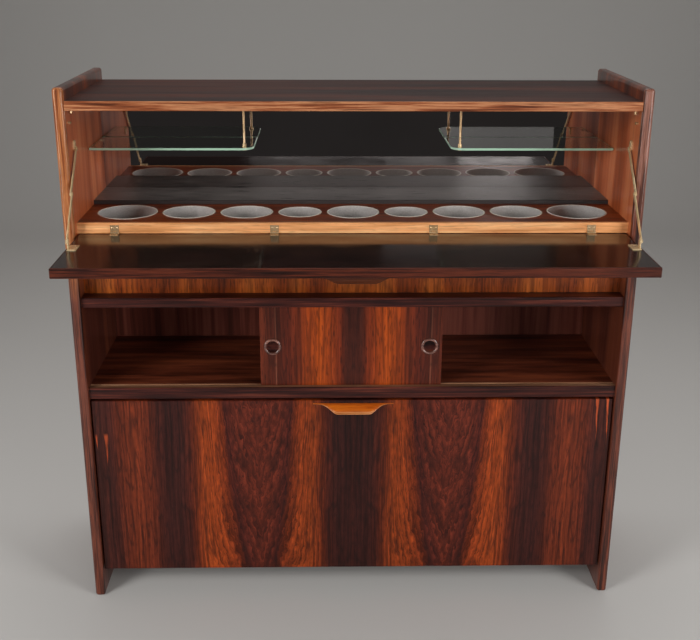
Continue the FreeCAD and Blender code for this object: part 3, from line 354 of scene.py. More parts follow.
@dataclass(frozen=True)
class BookMatched(Rosewood):
    """Rosewood veneer opened like a book: two or four leaves that mirror each other, with pointed cathedrals.

    The colour follows the distance from each leaf's heart line, less a taper with height, so that the heart
    narrows downwards to a V. Far from the heart the bands run straight and the curl is calm.
    """

    drift_mm: Size = (70.0, 70.0, 330.0)
    heart_mm: float = 212.0
    low_mm: float = 66.0
    high_mm: float = 491.0
    taper_mm: float = 62.0
    taper_start_mm: float = 40.0
    taper_reach_mm: float = 150.0
    feather_slope: float = 0.30
    span_mm: float = 400.0
    curl_mm: Size = (11.0, 11.0, 26.0)
    curl_contrast: float = 0.26
    curl_sway_mm: float = 26.0
    plain_curl: float = 0.4
    inner_mm: float = 110.0
    inner_shade: float = 0.8
    sap_tone: str = "#ad4a26"
    sap_strength: float = 0.85
    sap_ripple_mm: Size = (9.0, 9.0, 45.0)
    sap_sway_mm: float = 6.0
    sap_point_mm: float = 0.5
    sap_blunt_mm: float = 8.0
    sap_soft_mm: float = 1.2
    halo_mm: float = 6.0
    halo_strength: float = 0.55
    tongues: tuple[Tongue, ...] = ()

    def figure(self, tree: Tree, plain: Socket, space: Socket) -> tuple[Socket, Socket]:
        """Draw the matched leaves.

        Args:
            tree: the material's node tree.
            plain: plain millimetre coordinates.
            space: coordinates with the grain along the third one.

        Returns:
            The leaves' colour, and the coordinates that the finer streaks follow.
        """
        wander = mottle(tree, space, self.drift_mm, detail=2.0)
        sway = add(tree, "Math", (wander, NOISE_MIDDLE), operation="SUBTRACT")
        parts = add(tree, "SeparateXYZ", (plain,)).node.outputs
        swayed = add(tree, "Math", (sway, 2 * self.wander_mm, parts["X"]), operation="MULTIPLY_ADD")
        leaf = add(tree, "Math", (swayed,), operation="ABSOLUTE")
        aside = add(tree, "Math", (leaf, self.heart_mm), operation="SUBTRACT")
        heart = add(tree, "Math", (aside,), operation="ABSOLUTE")
        fade = add(tree, "MapRange", (heart, self.taper_start_mm, self.taper_reach_mm, 1.0, 0.0),
                   interpolation_type="SMOOTHSTEP")
        rise = add(tree, "MapRange", (parts["Z"], self.low_mm, self.high_mm), clamp=False)
        lift = add(tree, "Math", (rise, fade), operation="MULTIPLY")
        ring = add(tree, "Math", (lift, -self.taper_mm, heart), operation="MULTIPLY_ADD")
        share = add(tree, "Math", (ring, 1 / self.span_mm), operation="MULTIPLY")
        bands = add(tree, "ValToRGB", (share,), self.tones)
        curl = mottle(tree, space, self.curl_mm, detail=3.0)
        ruffle = add(tree, "MapRange", (curl, *CURL_REACH, -self.curl_contrast, self.curl_contrast))
        depth = add(tree, "MapRange", (fade, 0.0, 1.0, self.plain_curl))
        inner = add(tree, "MapRange", (aside, -self.inner_mm, 0.0, self.inner_shade))
        light = add(tree, "Math", (ruffle, depth, inner), operation="MULTIPLY_ADD")
        colour = add(tree, "HueSaturation", {"Value": light, "Color": bands})
        steep = -self.feather_slope * (self.high_mm - self.low_mm)
        feather = add(tree, "Math", (lift, steep, heart), operation="MULTIPLY_ADD")
        bent = add(tree, "Math", (curl, fade), operation="MULTIPLY")
        wavy = add(tree, "Math", (bent, self.curl_sway_mm, feather), operation="MULTIPLY_ADD")
        flow = add(tree, "CombineXYZ", (wavy, parts["Y"], parts["Z"]))
        return self.sapwood(tree, plain, colour), flow

    def sapwood(self, tree: Tree, plain: Socket, colour: Socket) -> Socket:
        """Paint the bright tongues of sapwood, each in a dark halo.

        Args:
            tree: the material's node tree.
            plain: plain millimetre coordinates.
            colour: the colour so far.

        Returns:
            The colour with the sapwood.
        """
        ripple = mottle(tree, plain, self.sap_ripple_mm, detail=3.0)
        parts = add(tree, "SeparateXYZ", (plain,)).node.outputs
        half_sway = self.sap_sway_mm / 2
        layers = ((self.pore_tone, -self.halo_mm, self.halo_strength),
                  (self.sap_tone, 0.0, self.sap_strength))
        for tongue in self.tongues:
            rise = (parts["Z"], tongue.lower_z_mm, tongue.upper_z_mm)
            foot, head = tongue.lower_x_mm - half_sway, tongue.upper_x_mm - half_sway
            middle = add(tree, "MapRange", (*rise, foot, head))
            bent = add(tree, "Math", (ripple, self.sap_sway_mm, middle), operation="MULTIPLY_ADD")
            aside = add(tree, "Math", (parts["X"], bent), operation="SUBTRACT")
            near = add(tree, "Math", (aside,), operation="ABSOLUTE")
            width = add(tree, "MapRange", (*rise, -self.sap_point_mm, tongue.half_mm))
            inside = add(tree, "Math", (width, near), operation="SUBTRACT")
            blunt = tongue.upper_z_mm - self.sap_blunt_mm
            under = add(tree, "MapRange", (parts["Z"], tongue.upper_z_mm, blunt))
            for tone, rim, strength in layers:
                mask = add(tree, "MapRange", (inside, rim, self.sap_soft_mm, 0.0, strength))
                ended = add(tree, "Math", (mask, under), operation="MULTIPLY")
                colour = add(tree, "Mix", {0: ended, 6: colour, 7: linear(tone)}, **BLEND)
        return colour


@dataclass(frozen=True)
class Fade:
    """Another tone that takes over towards the low end of a coordinate: darker along the slab's front edge,
    and painted shade down in a cup.
    """

    coordinate: str
    low_mm: float
    high_mm: float
    tone: str


# Moulded, pressed, plated and silvered things: a base colour with fine mottling and a matching roughness.
@dataclass(frozen=True)
class Mottled(Finish):
    """A plain material with slight cloudy or streaky variation in tone and sheen."""

    tones: Stops
    speck_mm: Size
    roughness: float
    roughness_spread: float = 0.05
    metallic: float = 0.0
    bump: float = 0.0
    specular: float = 0.5
    fade: Fade | None = None

    def draw(self, tree: Tree, shader: Node) -> None:
        """Set the shader and add the pattern's nodes.

        Args:
            tree: the material's node tree.
            shader: its shader node.
        """
        place = add(tree, "TexCoord", out="Object")
        cloud = mottle(tree, place, tuple(length * MM for length in self.speck_mm), detail=4.0)
        colour = add(tree, "ValToRGB", (cloud,), self.tones)
        # The fade paints shade down in a cup, and darkens the slab along its front edge.
        if self.fade:
            along = add(tree, "SeparateXYZ", (place,)).node.outputs[self.fade.coordinate]
            share = add(tree, "MapRange", (along, self.fade.low_mm * MM, self.fade.high_mm * MM))
            colour = add(tree, "Mix", {0: share, 6: linear(self.fade.tone), 7: colour}, **BLEND)
        smooth, rough = self.roughness - self.roughness_spread, self.roughness + self.roughness_spread
        sheen = add(tree, "MapRange", (cloud, *SHEEN_REACH, smooth, rough))
        if self.bump:
            relief = add(tree, "Bump", {"Height": cloud, "Strength": self.bump, "Distance": RELIEF})
            plug(tree, shader, {"Normal": relief})
        plug(tree, shader, {"Base Color": colour, "Roughness": sheen, "Metallic": self.metallic,
                            "Specular IOR Level": self.specular})


# Float glass: clear across its faces, with a sea-green tint that gathers along its polished edges.
@dataclass(frozen=True)
class FloatGlass(Finish):
    """Polished glass with a tint."""

    tint: str
    roughness: float
    clear: float = 1.0

    def draw(self, tree: Tree, shader: Node) -> None:
        """Set the shader."""
        plug(tree, shader, {"Base Color": linear(self.tint), "Roughness": self.roughness,
                            "Transmission Weight": self.clear, "IOR": GLASS_IOR})


# Tones of the woods, from the low to the high values of their bands
VENEER = (0.30, 0.44, 0.54, 0.66, 0.78)
GLOWING = (0.28, 0.42, 0.54, 0.66, 0.80)
LINED = (0.30, 0.46, 0.60, 0.76)
OILED = (0.30, 0.48, 0.64, 0.80)
EVEN = (0.30, 0.50, 0.70)
CUT = (0.34, 0.46, 0.56, 0.68)
DARK_TONES = tones(VENEER, "#26100b #40190f #552412 #6e3015 #411a0f")
TOP_TONES = tones(VENEER, "#1c0c09 #30130d #421c12 #562616 #31130c")
SIDE_TONES = tones(VENEER, "#35150b #52210f #6c2f13 #823b17 #4a1d0e")
WALL_TONES = tones(VENEER, "#77371b #a34e27 #bc6238 #cf794b #8c4320")
FLOOR_TONES = tones(VENEER, "#34180f #552516 #6e3420 #8a4428 #552718")
WARM_TONES = tones(GLOWING, "#4c1d0d #6d2c10 #8b3d14 #a04c1a #632610")
GLOW_TONES = tones(GLOWING, "#58230d #78340f #904517 #9e511d #65280e")
BACK_TONES = tones(LINED, "#3e1e17 #653025 #824638 #55281f")
PAINTED_SHADE_TONES = tones(LINED, "#321812 #50261c #683422 #482016")
PLUM_TONES = tones((0.32, 0.44, 0.56, 0.70), "#180a09 #2a100d #421b15 #653022")
LIPPING_LIGHT_TONES = tones((0.30, 0.48, 0.62, 0.78), "#d88f54 #f2aa6f #fdc085 #d08246")
PULL_TONES = tones(OILED, "#98450a #b45310 #c46316 #883708")
RIM_HIGHLIGHT_TONES = tones(OILED, "#b4703c #c88450 #d49464 #a8642e")
FLAP_PULL_SHADE_TONES = tones(OILED, "#38180b #4e2410 #602f15 #321308")
TRACK_LIGHT_TONES = tones(EVEN, "#6d4a34 #8a6046 #a0775a")
TURNED_TONES = tones(EVEN, "#4a271f #6c4236 #805446")
TAN_EDGE = tones(CUT, "#4c2412 #8a4a2a #bc8058 #64341c")
LIT_HONEY_EDGE = tones(CUT, "#4e2410 #8e4c26 #ba784a #6c3818")
LIT_ROSY_EDGE = tones(CUT, "#341812 #603626 #946454 #442018")
RED_EDGE = tones(CUT, "#220d08 #4a2014 #733a28 #3e1b0e")
FLAP_EDGE = tones(CUT, "#150805 #35140c #582616 #2a1009")
DOOR_TONES = tones(
    (0.000, 0.055, 0.075, 0.115, 0.190, 0.280, 0.335, 0.385,
     0.430, 0.510, 0.560, 0.605, 0.690, 0.770, 0.815, 0.920),
    "#572114 #4a1b12 #3f160f #6a2810 #8a3813 #8c3a14 #702c11 #4c1d12 "
    "#381712 #321410 #401911 #5c2413 #6a2a14 #582212 #401a13 #3a1812")
SLIDING_TONES = tones(
    (0.00, 0.09, 0.15, 0.24, 0.37, 0.48, 0.58, 0.70, 0.836, 0.846, 0.856, 1.00),
    "#3c170e #40190f #6a2710 #863510 #9c410f #923b10 #702b11 #501d10 #481b0f #75412f #451a0f #5a2413")
# Side walls' lining: painted shade inside the lower compartment, the lit wall tones above it.
LINING = {"grain": Grain.Z, "tones": PAINTED_SHADE_TONES, "lit_upper_tones": WALL_TONES,
          "streak_mm": (70.0, 70.0, 1200.0), "top_mm": 1142.0}
SHELF_EDGE = Patch("Y", -66.5, -1, Grain.X, PLUM_TONES)
SHELF_OFFSET = (90.0, 0.0, 250.0)
STRIP_WOOD = {"band_mm": 9.0, "wander_mm": 5.0}
PULL_WOOD = {"band_mm": 12.0, "wander_mm": 8.0, "streak_contrast": 0.16, "vein_depth": 0.15}
TURNED_WOOD = {"band_mm": 14.0, "wander_mm": 6.0}


class Finishes:
    """All the finishes of the cabinet."""

    # Each side's front edge is painted paler above a height: painted light where the lamps catch its upper
    # part.
    side_left = Rosewood(
        "rosewood_veneer_left_side", Grain.Z, SIDE_TONES, offset_mm=(31.0, 70.0, 0.0), coat=0.5,
        patches=(Patch("X", -578.4, 1, **LINING), Patch("Y", -71.0, -1, Grain.Z, RED_EDGE, LIT_HONEY_EDGE)))
    side_right = Rosewood(
        "rosewood_veneer_right_side", Grain.Z, SIDE_TONES, offset_mm=(-410.0, 12.0, 90.0), coat=0.5,
        patches=(Patch("X", 578.4, -1, **LINING), Patch("Y", -71.0, -1, Grain.Z, RED_EDGE, LIT_ROSY_EDGE, 940.0)))
    top = Rosewood("rosewood_veneer_top", Grain.X, TOP_TONES, band_mm=60.0, offset_mm=(5.0, 40.0, 0.0),
                   roughness=0.42, specular=0.14, patches=(Patch("Y", -74.5, -1, Grain.X, TAN_EDGE),))
    shelf = Rosewood("rosewood_veneer_shelves", Grain.X, DARK_TONES, offset_mm=SHELF_OFFSET,
                     patches=(SHELF_EDGE,))
    lower_shelf = Rosewood(
        "rosewood_veneer_lower_shelf", Grain.X, DARK_TONES, offset_mm=SHELF_OFFSET,
        patches=(Patch("Z", 521.6, 1, Grain.X, FLOOR_TONES, streak_mm=(24.0, 24.0, 260.0)), SHELF_EDGE))
    deck = Rosewood("rosewood_veneer_deck", Grain.X, WARM_TONES, offset_mm=(10.0, 60.0, 0.0))
    back = Rosewood("rosewood_veneer_back", Grain.Z, WARM_TONES, band_mm=70.0, offset_mm=(0.0, 30.0, 60.0),
                    patches=(Patch("Y", 261.6, -1, Grain.Z, BACK_TONES, streak_mm=(24.0, 24.0, 900.0)),))
    well = Rosewood("rosewood_veneer_well_front", Grain.Z, GLOW_TONES, band_mm=60.0,
                    offset_mm=(700.0, 0.0, 0.0))
    flap = Rosewood("rosewood_veneer_flap", Grain.Y, DARK_TONES, offset_mm=(0.0, 20.0, 10.0),
                    patches=(Patch("Y", -304.5, -1, Grain.X, FLAP_EDGE),))
    # Solid heartwood, planed and oiled: paler and closer in grain, with soft streaks. The deck lipping's and
    # the door track's pale tones are painted light, for their brightly lit faces.
    lipping = Rosewood("rosewood_lipping_painted_light", Grain.X, LIPPING_LIGHT_TONES, streak_contrast=0.14, vein_depth=0.12,
                       pore_depth=0.22, pore_tone="#7a401c", roughness=0.4, **STRIP_WOOD)
    track = Rosewood("rosewood_track_painted_light", Grain.X, TRACK_LIGHT_TONES, streak_contrast=0.16, vein_depth=0.1,
                     pore_depth=0.25, roughness=0.42, **STRIP_WOOD)
    pull = Rosewood("oiled_rosewood_pull", Grain.X, PULL_TONES, coat=1.0, pore_depth=0.28,
                    pore_tone="#5a280c", **PULL_WOOD)
    # The lower pull's nose: a painted highlight, paler tones along its rim.
    pull_rim_highlight = Rosewood("rosewood_pull_rim_painted_highlight", Grain.X, RIM_HIGHLIGHT_TONES, coat=0.35, pore_depth=0.2,
                        pore_tone="#7a4018", roughness=0.3, **PULL_WOOD)
    # The flap's pull is the lower pull's wood, painted darker as painted shade under the open flap.
    flap_pull = Rosewood("oiled_rosewood_pull_painted_shade", Grain.X, FLAP_PULL_SHADE_TONES, pore_depth=0.28,
                         pore_tone="#3a180a", **PULL_WOOD)
    finger_pull = Rosewood("turned_rosewood_finger_pull", Grain.X, TURNED_TONES, roughness=0.24, specular=0.5,
                           coat=0.6, **TURNED_WOOD)
    # The finger pulls' hollows: painted shade, darker tones down in the dish.
    hollow = Rosewood("oiled_rosewood_finger_hollow_painted_shade", Grain.X, PLUM_TONES, roughness=0.5, specular=0.1,
                      **TURNED_WOOD)
    # Matched leaves: a curly V of heartwood between calm orange and near-black bands.
    lower_door = BookMatched(
        "book_matched_rosewood_lower_door", Grain.Z, DOOR_TONES, wander_mm=9.0, streak_contrast=0.56,
        curl_contrast=0.40, curl_mm=(8.0, 8.0, 20.0), vein_mm=(18.0, 18.0, 170.0), vein_depth=0.6,
        pore_depth=0.5, tongues=(
            Tongue(-571.0, -568.0, 412.0, 360.0, 3.2), Tongue(-549.0, -549.0, 414.0, 318.0, 5.0),
            Tongue(541.0, 546.0, 500.0, 368.0, 4.2), Tongue(564.0, 570.0, 500.0, 358.0, 4.0)))
    sliding_door = BookMatched(
        "book_matched_rosewood_sliding_door", Grain.Z, SLIDING_TONES, wander_mm=3.0, heart_mm=0.0,
        low_mm=518.0, high_mm=712.0, taper_mm=0.0, feather_slope=0.0, span_mm=200.0, streak_contrast=0.36,
        curl_contrast=0.12, curl_sway_mm=0.0)
    # Moulded plastic: an even matt grey, with painted shade down in the cup and a painted highlight along its
    # rim.
    cup = Mottled("moulded_grey_plastic_cup", ((0.35, "#aba49f"), (0.65, "#beb7b2")), (2.0, 2.0, 2.0), 0.55,
                  bump=0.03, fade=Fade("Z", 800.0, 874.0, "#2e2a28"))
    rim = Mottled("grey_plastic_rim_painted_highlight", ((0.35, "#cfc8b8"), (0.65, "#ebe4d4")), (6.0, 6.0, 6.0), 0.42)
    # Pressed laminate: an emboss breaks the slab's gloss into long streaks, and the flap is smooth and deep.
    # The emboss is finer than a pixel, so it is drawn a few millimetres wide.
    slab = Mottled("embossed_charcoal_laminate", ((0.36, "#332e2c"), (0.50, "#524c49"), (0.64, "#736b67")),
                   (60.0, 3.4, 3.4), 0.36, 0.10, bump=0.10, fade=Fade("Y", 121.5, 123.0, "#332b29"))
    laminate = Mottled("polished_black_laminate", ((0.35, "#1d100d"), (0.65, "#271613")), (90.0, 40.0, 40.0),
                       0.13, 0.03, specular=0.4)
    # Rolled and drawn brass under lacquer: warm, softly clouded and half bright. The stays and brackets are
    # painted brighter: a painted highlight for the glints on their edges.
    brass = Mottled("worn_lacquered_brass", ((0.30, "#cca676"), (0.70, "#e4c69c")), (40.0, 40.0, 40.0),
                    0.26, 0.03, metallic=0.6)
    stay_brass_highlight = Mottled("lacquered_brass_stay_painted_highlight", ((0.30, "#ddba88"), (0.70, "#f6dcae")),
                         (25.0, 25.0, 25.0), 0.26, 0.03, metallic=0.45)
    # Zinc-plated steel: a cool grey with brush lines, drawn coarser than real ones.
    steel = Mottled("brushed_zinc_plated_steel", ((0.35, "#8c8c8e"), (0.65, "#a6a6a8")), (30.0, 1.2, 1.2),
                    0.34, metallic=1.0)
    # Silvered glass: a clear, slightly warm and dim reflection.
    mirror = Mottled("silvered_mirror_glass", ((0.40, "#bdb6b4"), (0.60, "#c6bfbd")), (300.0, 300.0, 300.0),
                     0.015, 0.01, metallic=1.0)
    glass = FloatGlass("polished_float_glass", "#e6f5ef", 0.0)
    glass_edge = FloatGlass("polished_float_glass_edge", "#c4ecd0", 0.2, 0.25)


def surface(name: str, points: np.ndarray, wrap: bool = True) -> Piece:
    """Turn grids of points into one mesh object.

    Each quad joins four neighbouring grid points. Points that fall together at poles and seams are merged,
    and the faces are turned outwards.

    Args:
        name: the piece's name.
        points: metres, shaped (grids, rows, columns, 3).
        wrap: whether the last column joins the first.

    Returns:
        The linked object, at the origin.
    """
    grids, rows, columns, _ = points.shape
    row, column = np.meshgrid(np.arange(rows - 1), np.arange(columns if wrap else columns - 1), indexing="ij")
    beside = (column + 1) % columns
    corners = [row * columns + column, row * columns + beside,
               (row + 1) * columns + beside, (row + 1) * columns + column]
    quads = np.stack(corners, axis=-1).reshape(-1, 4)
    joined = (quads[None] + (np.arange(grids) * rows * columns)[:, None, None]).reshape(-1, 4)
    mesh = bpy.data.meshes.new(name)
    mesh.from_pydata(points.reshape(-1, 3).tolist(), [], joined.tolist())
    shell = bmesh.new()
    shell.from_mesh(mesh)
    bmesh.ops.remove_doubles(shell, verts=shell.verts, dist=MERGE_MM * MM)
    bmesh.ops.recalc_face_normals(shell, faces=shell.faces)
    shell.to_mesh(mesh)
    shell.free()
    mesh.shade_smooth()
    mesh.set_sharp_from_angle(angle=SHARP_ANGLE)
    piece = bpy.data.objects.new(name, mesh)
    bpy.context.scene.collection.objects.link(piece)
    return piece


def arc(centre: tuple[float, float], radius: float, start: float, end: float, count: int) -> np.ndarray:
    """Give points on an arc: centre plus radius times (cos, sin) of an angle that runs from start to end.

    Args:
        centre: the arc's middle.
        radius: its radius.
        start: first angle in degrees.
        end: last angle in degrees.
        count: number of points.

    Returns:
        The points, shaped (count, 2).
    """
    angle = np.radians(np.linspace(start, end, count))
    return np.asarray(centre) + radius * np.stack([np.cos(angle), np.sin(angle)], axis=-1)


def turned(profile: np.ndarray, centre: np.ndarray, axis: Vector, segments: int) -> np.ndarray:
    """Spin a profile round an axis: each (radius, height) goes to (r cos t, r sin t, h), then the axis turns.

    Args:
        profile: (radius, height) points in millimetres, from pole to pole.
        centre: the axis' foot in millimetres.
        axis: the direction that height is measured in.
        segments: number of points round the axis.

    Returns:
        Points in metres, shaped (1, profile points, segments, 3).
    """
    angle = np.linspace(0, 2 * math.pi, segments, endpoint=False)
    radius, height = profile[:, :1], profile[:, 1:]
    ring = np.stack([radius * np.cos(angle), radius * np.sin(angle), height + 0 * angle], axis=-1)
    turn = np.array(UP.rotation_difference(axis).to_matrix())
    return ((ring @ turn.T + centre) * MM)[None]


def span(node: str) -> tuple[np.ndarray, np.ndarray]:
    """Give a CAD node's lowest and highest corner in millimetres."""
    low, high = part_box(node)
    return np.array(low) / MM, np.array(high) / MM


def settle(piece: Piece, body: str, finish: Finish, node: str) -> None:
    """Give a new piece its finish, its body and the CAD node that it stands for.

    Args:
        piece: the new piece.
        body: the CAD body that it moves with.
        finish: its finish.
        node: the CAD node that it replaces.
    """
    piece.data.materials.append(finish.material())
    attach(piece, body)
    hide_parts(node)
    log.info("built %s on %s", piece.name, body)


def faces(piece: Piece, what: str) -> np.ndarray:
    """Give the "center" or the "normal" of every face of a piece, shaped (faces, 3)."""
    values = np.empty(len(piece.data.polygons) * 3)
    piece.data.polygons.foreach_get(what, values)
    return values.reshape(-1, 3)


def repaint(piece: Piece, finish: Finish, chosen: np.ndarray) -> None:
    """Give some faces of a piece a second finish.

    Args:
        piece: the piece, which has one finish.
        finish: the second finish.
        chosen: whether each face gets it.
    """
    piece.data.materials.append(finish.material())
    piece.data.polygons.foreach_set("material_index", chosen.astype(np.int32))


class Assembly:
    """A sub-assembly of the cabinet. Its dressing lists each finish with the CAD nodes that get it."""

    dressing: ClassVar[tuple[tuple, ...]] = ()

    def build(self) -> None:
        """Build the pieces that replace plain CAD ones."""

    def dress(self) -> None:
        """Give the CAD nodes their finishes."""
        for finish, *nodes in self.dressing:
            for name in nodes:
                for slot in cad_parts[name].material_slots:
                    slot.material = finish.material()
                log.info("dressed %s with %s", name, finish.name)


@dataclass
class SlottedScrews:
    """Round-headed slotted wood screws."""

    radius: float = 2.4
    height: float = 0.9
    slot_width: float = 0.7
    slot_depth: float = 0.55
    slot_wall: float = 0.02
    rows_each_side: int = 5
    columns: int = 15

    def heads(self, seats: np.ndarray, ways: np.ndarray, slots: np.ndarray) -> np.ndarray:
        """Lay out screw heads.

        A head is a grid of chords across the slot: height falls as a dome, h (1 - (r / R)^2), and drops to
        the slot's floor between its walls. The under side closes it at height 0.

        Args:
            seats: seat points in millimetres, shaped (screws, 3).
            ways: unit directions out of the seats, shaped (screws, 3).
            slots: unit directions along the slots, shaped (screws, 3).

        Returns:
            Points in metres, shaped (screws, rows, columns, 3).
        """
        half = self.slot_width / 2
        outer = np.linspace(self.radius, half + self.slot_wall, self.rows_each_side)
        across = np.concatenate([-outer, [-half, half], outer[::-1]])[:, None]
        along = np.linspace(-1, 1, self.columns) * np.sqrt(np.clip(self.radius ** 2 - across ** 2, 0, None))
        dome = self.height * (1 - (across ** 2 + along ** 2) / self.radius ** 2)
        floor = np.minimum(dome, self.height - self.slot_depth)
        top = np.where(np.abs(across) <= half, floor, dome)
        flat = np.stack([np.concatenate([along, along[:, ::-1]], axis=1),
                         np.repeat(across, 2 * self.columns, axis=1),
                         np.concatenate([top, 0 * top], axis=1)], axis=-1)
        turn = np.stack([slots, np.cross(ways, slots), ways], axis=1)
        return (np.einsum("rck,nkj->nrcj", flat, turn) + seats[:, None, None]) * MM


@dataclass
class Hardware(Assembly):
    """Hinges, stays, stops and screws in brass, and the magnet catches."""

    dressing = (
        (Finishes.brass, "flap_stop_studs", "flap_stop_pegs", *(
            f"{door}_hinge_{part}" for door in ("flap", "door")
            for part in ("fixed_leaves", "moving_leaves", "pins"))),
        (Finishes.stay_brass_highlight, "stay_wall_plates", "flap_stay_brackets", "door_stay_brackets", *(
            f"{side}_{door}_stay_{half}_link" for side in ("left", "right")
            for door in ("flap", "door") for half in ("upper", "lower"))),
        (Finishes.steel, "door_catches", "door_strikes"),
    )
    hinge_reach: float = 500.0
    hinge_shares: tuple[float, ...] = (-1, -1 / 3, 1 / 3, 1)
    screw_spread: float = 5.0
    screw_rise: float = 10.0
    slot_turn: float = 67.0
    flap_axis: tuple[float, float] = (-55.5, 867.5)
    door_axis: tuple[float, float] = (-47.5, 67.5)
    hinge_offset: float = 2.5
    leaf: float = 1.0
    plate_face: float = 575.0
    plate_rises: tuple[float, float] = (8.5, 14.5)
    wall_pivot: tuple[float, float] = (33.5, 170.5)
    bracket_x: float = 559.0
    bracket_base: float = 2.0
    bracket_runs: tuple[float, float] = (-6.0, 17.0)
    reach: float = 117.5
    screws: SlottedScrews = field(default_factory=SlottedScrews)

    def leaf_seats(self, y: float, z: float) -> list[Size]:
        """List the screw seats of one row of hinge leaves."""
        return [(share * self.hinge_reach + side * self.screw_spread, y, z)
                for share in self.hinge_shares for side in (-1, 1)]

    def screw_piece(self, name: str, body: str, groups: list[tuple[list, tuple]]) -> None:
        """Build the screws of one body as one piece.

        Args:
            name: what the piece and the CAD node that it replaces are named for.
            body: the CAD body that carries them.
            groups: the seats, with the way that they face, of each kind of place.
        """
        seats = np.array([seat for group, _ in groups for seat in group])
        ways = np.array([way for group, way in groups for _ in group], float)
        turns = np.radians((np.arange(len(seats)) * self.slot_turn) % 180)[:, None]
        first = np.cross(ways, np.where(np.abs(ways[:, :1]) > 0.5, [[0.0, 0.0, 1.0]], [[1.0, 0.0, 0.0]]))
        slots = np.cos(turns) * first + np.sin(turns) * np.cross(ways, first)
        piece = surface(f"{name}_screw_heads", self.screws.heads(seats, ways, slots))
        settle(piece, body, Finishes.brass, f"{name}_screws")

    def build(self) -> None:
        """Build the screw heads."""
        flap_y, flap_z = self.flap_axis
        door_y, door_z = self.door_axis
        pivot_y, pivot_z = self.wall_pivot
        left, right = ([(-side * self.plate_face, y + pivot_y, z + pivot_z + rise)
                        for y, z in (self.flap_axis, self.door_axis) for rise in self.plate_rises]
                       for side in (1, -1))
        inner = self.hinge_offset - self.leaf
        self.screw_piece("carcass", "carcass", [
            (self.leaf_seats(flap_y + inner, flap_z + self.screw_rise), (0, -1, 0)),
            (self.leaf_seats(door_y + inner, door_z + self.screw_rise), (0, -1, 0)),
            (left, (1, 0, 0)),
            (right, (-1, 0, 0)),
        ])
        brackets = [(side * self.bracket_x, run) for side in (-1, 1) for run in self.bracket_runs]
        face = flap_z - self.hinge_offset
        self.screw_piece("flap", "flap", [
            (self.leaf_seats(flap_y - self.screw_rise, face + self.leaf), (0, 0, 1)),
            ([(x, flap_y - self.reach + run, face + self.bracket_base) for x, run in brackets], (0, 0, 1)),
        ])
        face = door_y - self.hinge_offset
        self.screw_piece("door", "lower_door", [
            (self.leaf_seats(face + self.leaf, door_z + self.screw_rise), (0, 1, 0)),
            ([(x, face + self.bracket_base, door_z + self.reach - run) for x, run in brackets], (0, 1, 0)),
        ])


class Carcass(Assembly):
    """Slab sides, top, back, bottom and shelves."""

    dressing = (
        (Finishes.side_left, "left_side_panel"), (Finishes.side_right, "right_side_panel"),
        (Finishes.top, "top_panel"), (Finishes.back, "back_panel"), (Finishes.lower_shelf, "lower_shelf"),
        (Finishes.shelf, "bottom_panel", "mid_shelf"), (Finishes.track, "door_track"),
    )


@dataclass
class BottleWell(Assembly):
    """Deck, lipping, front panel and the row of bottle cups."""

    dressing = ((Finishes.deck, "deck_board"), (Finishes.lipping, "deck_lipping"),
                (Finishes.well, "well_front_panel"))
    count: int = 9
    rim: float = 2.0
    highlight_share: float = 0.3
    clearance: float = 0.3
    wall: float = 1.2
    flange: float = 1.0
    foot_round: float = 5.0
    floor_round: float = 7.0
    segments: int = 72

    def cup(self, number: int) -> None:
        """Build one cup: a thin beaker with a rolled rim and rounded foot, spun round its own axis.

        Args:
            number: the cup's number in the row.
        """
        node = f"bottle_cup_{number}"
        low, high = span(node)
        centre = (low + high) / 2 * (1, 1, 0)
        edge = (high[0] - low[0]) / 2
        outer = edge - self.rim - self.clearance
        inner = outer - self.wall
        deck, floor = high[2] - self.flange, low[2] + self.wall
        lip = self.flange / 2
        profile = np.concatenate([
            [(0.0, low[2])],
            arc((outer - self.foot_round, low[2] + self.foot_round), self.foot_round, -90, 0, 8),
            [(outer, deck)],
            arc((edge - lip, deck + lip), lip, -90, 90, 7),
            arc((inner + lip, deck + lip), lip, 90, 180, 5),
            arc((inner - self.floor_round, floor + self.floor_round), self.floor_round, 0, -90, 8),
            [(0.0, floor)],
        ])
        piece = surface(f"{node}_moulded", turned(profile, centre, UP, self.segments))
        settle(piece, "carcass", Finishes.cup, node)
        # Faces high on the rim get paler tones: a painted highlight.
        repaint(piece, Finishes.rim, faces(piece, "center")[:, 2] > (deck + self.highlight_share * self.flange) * MM)

    def build(self) -> None:
        """Build all the cups."""
        for number in range(1, self.count + 1):
            self.cup(number)


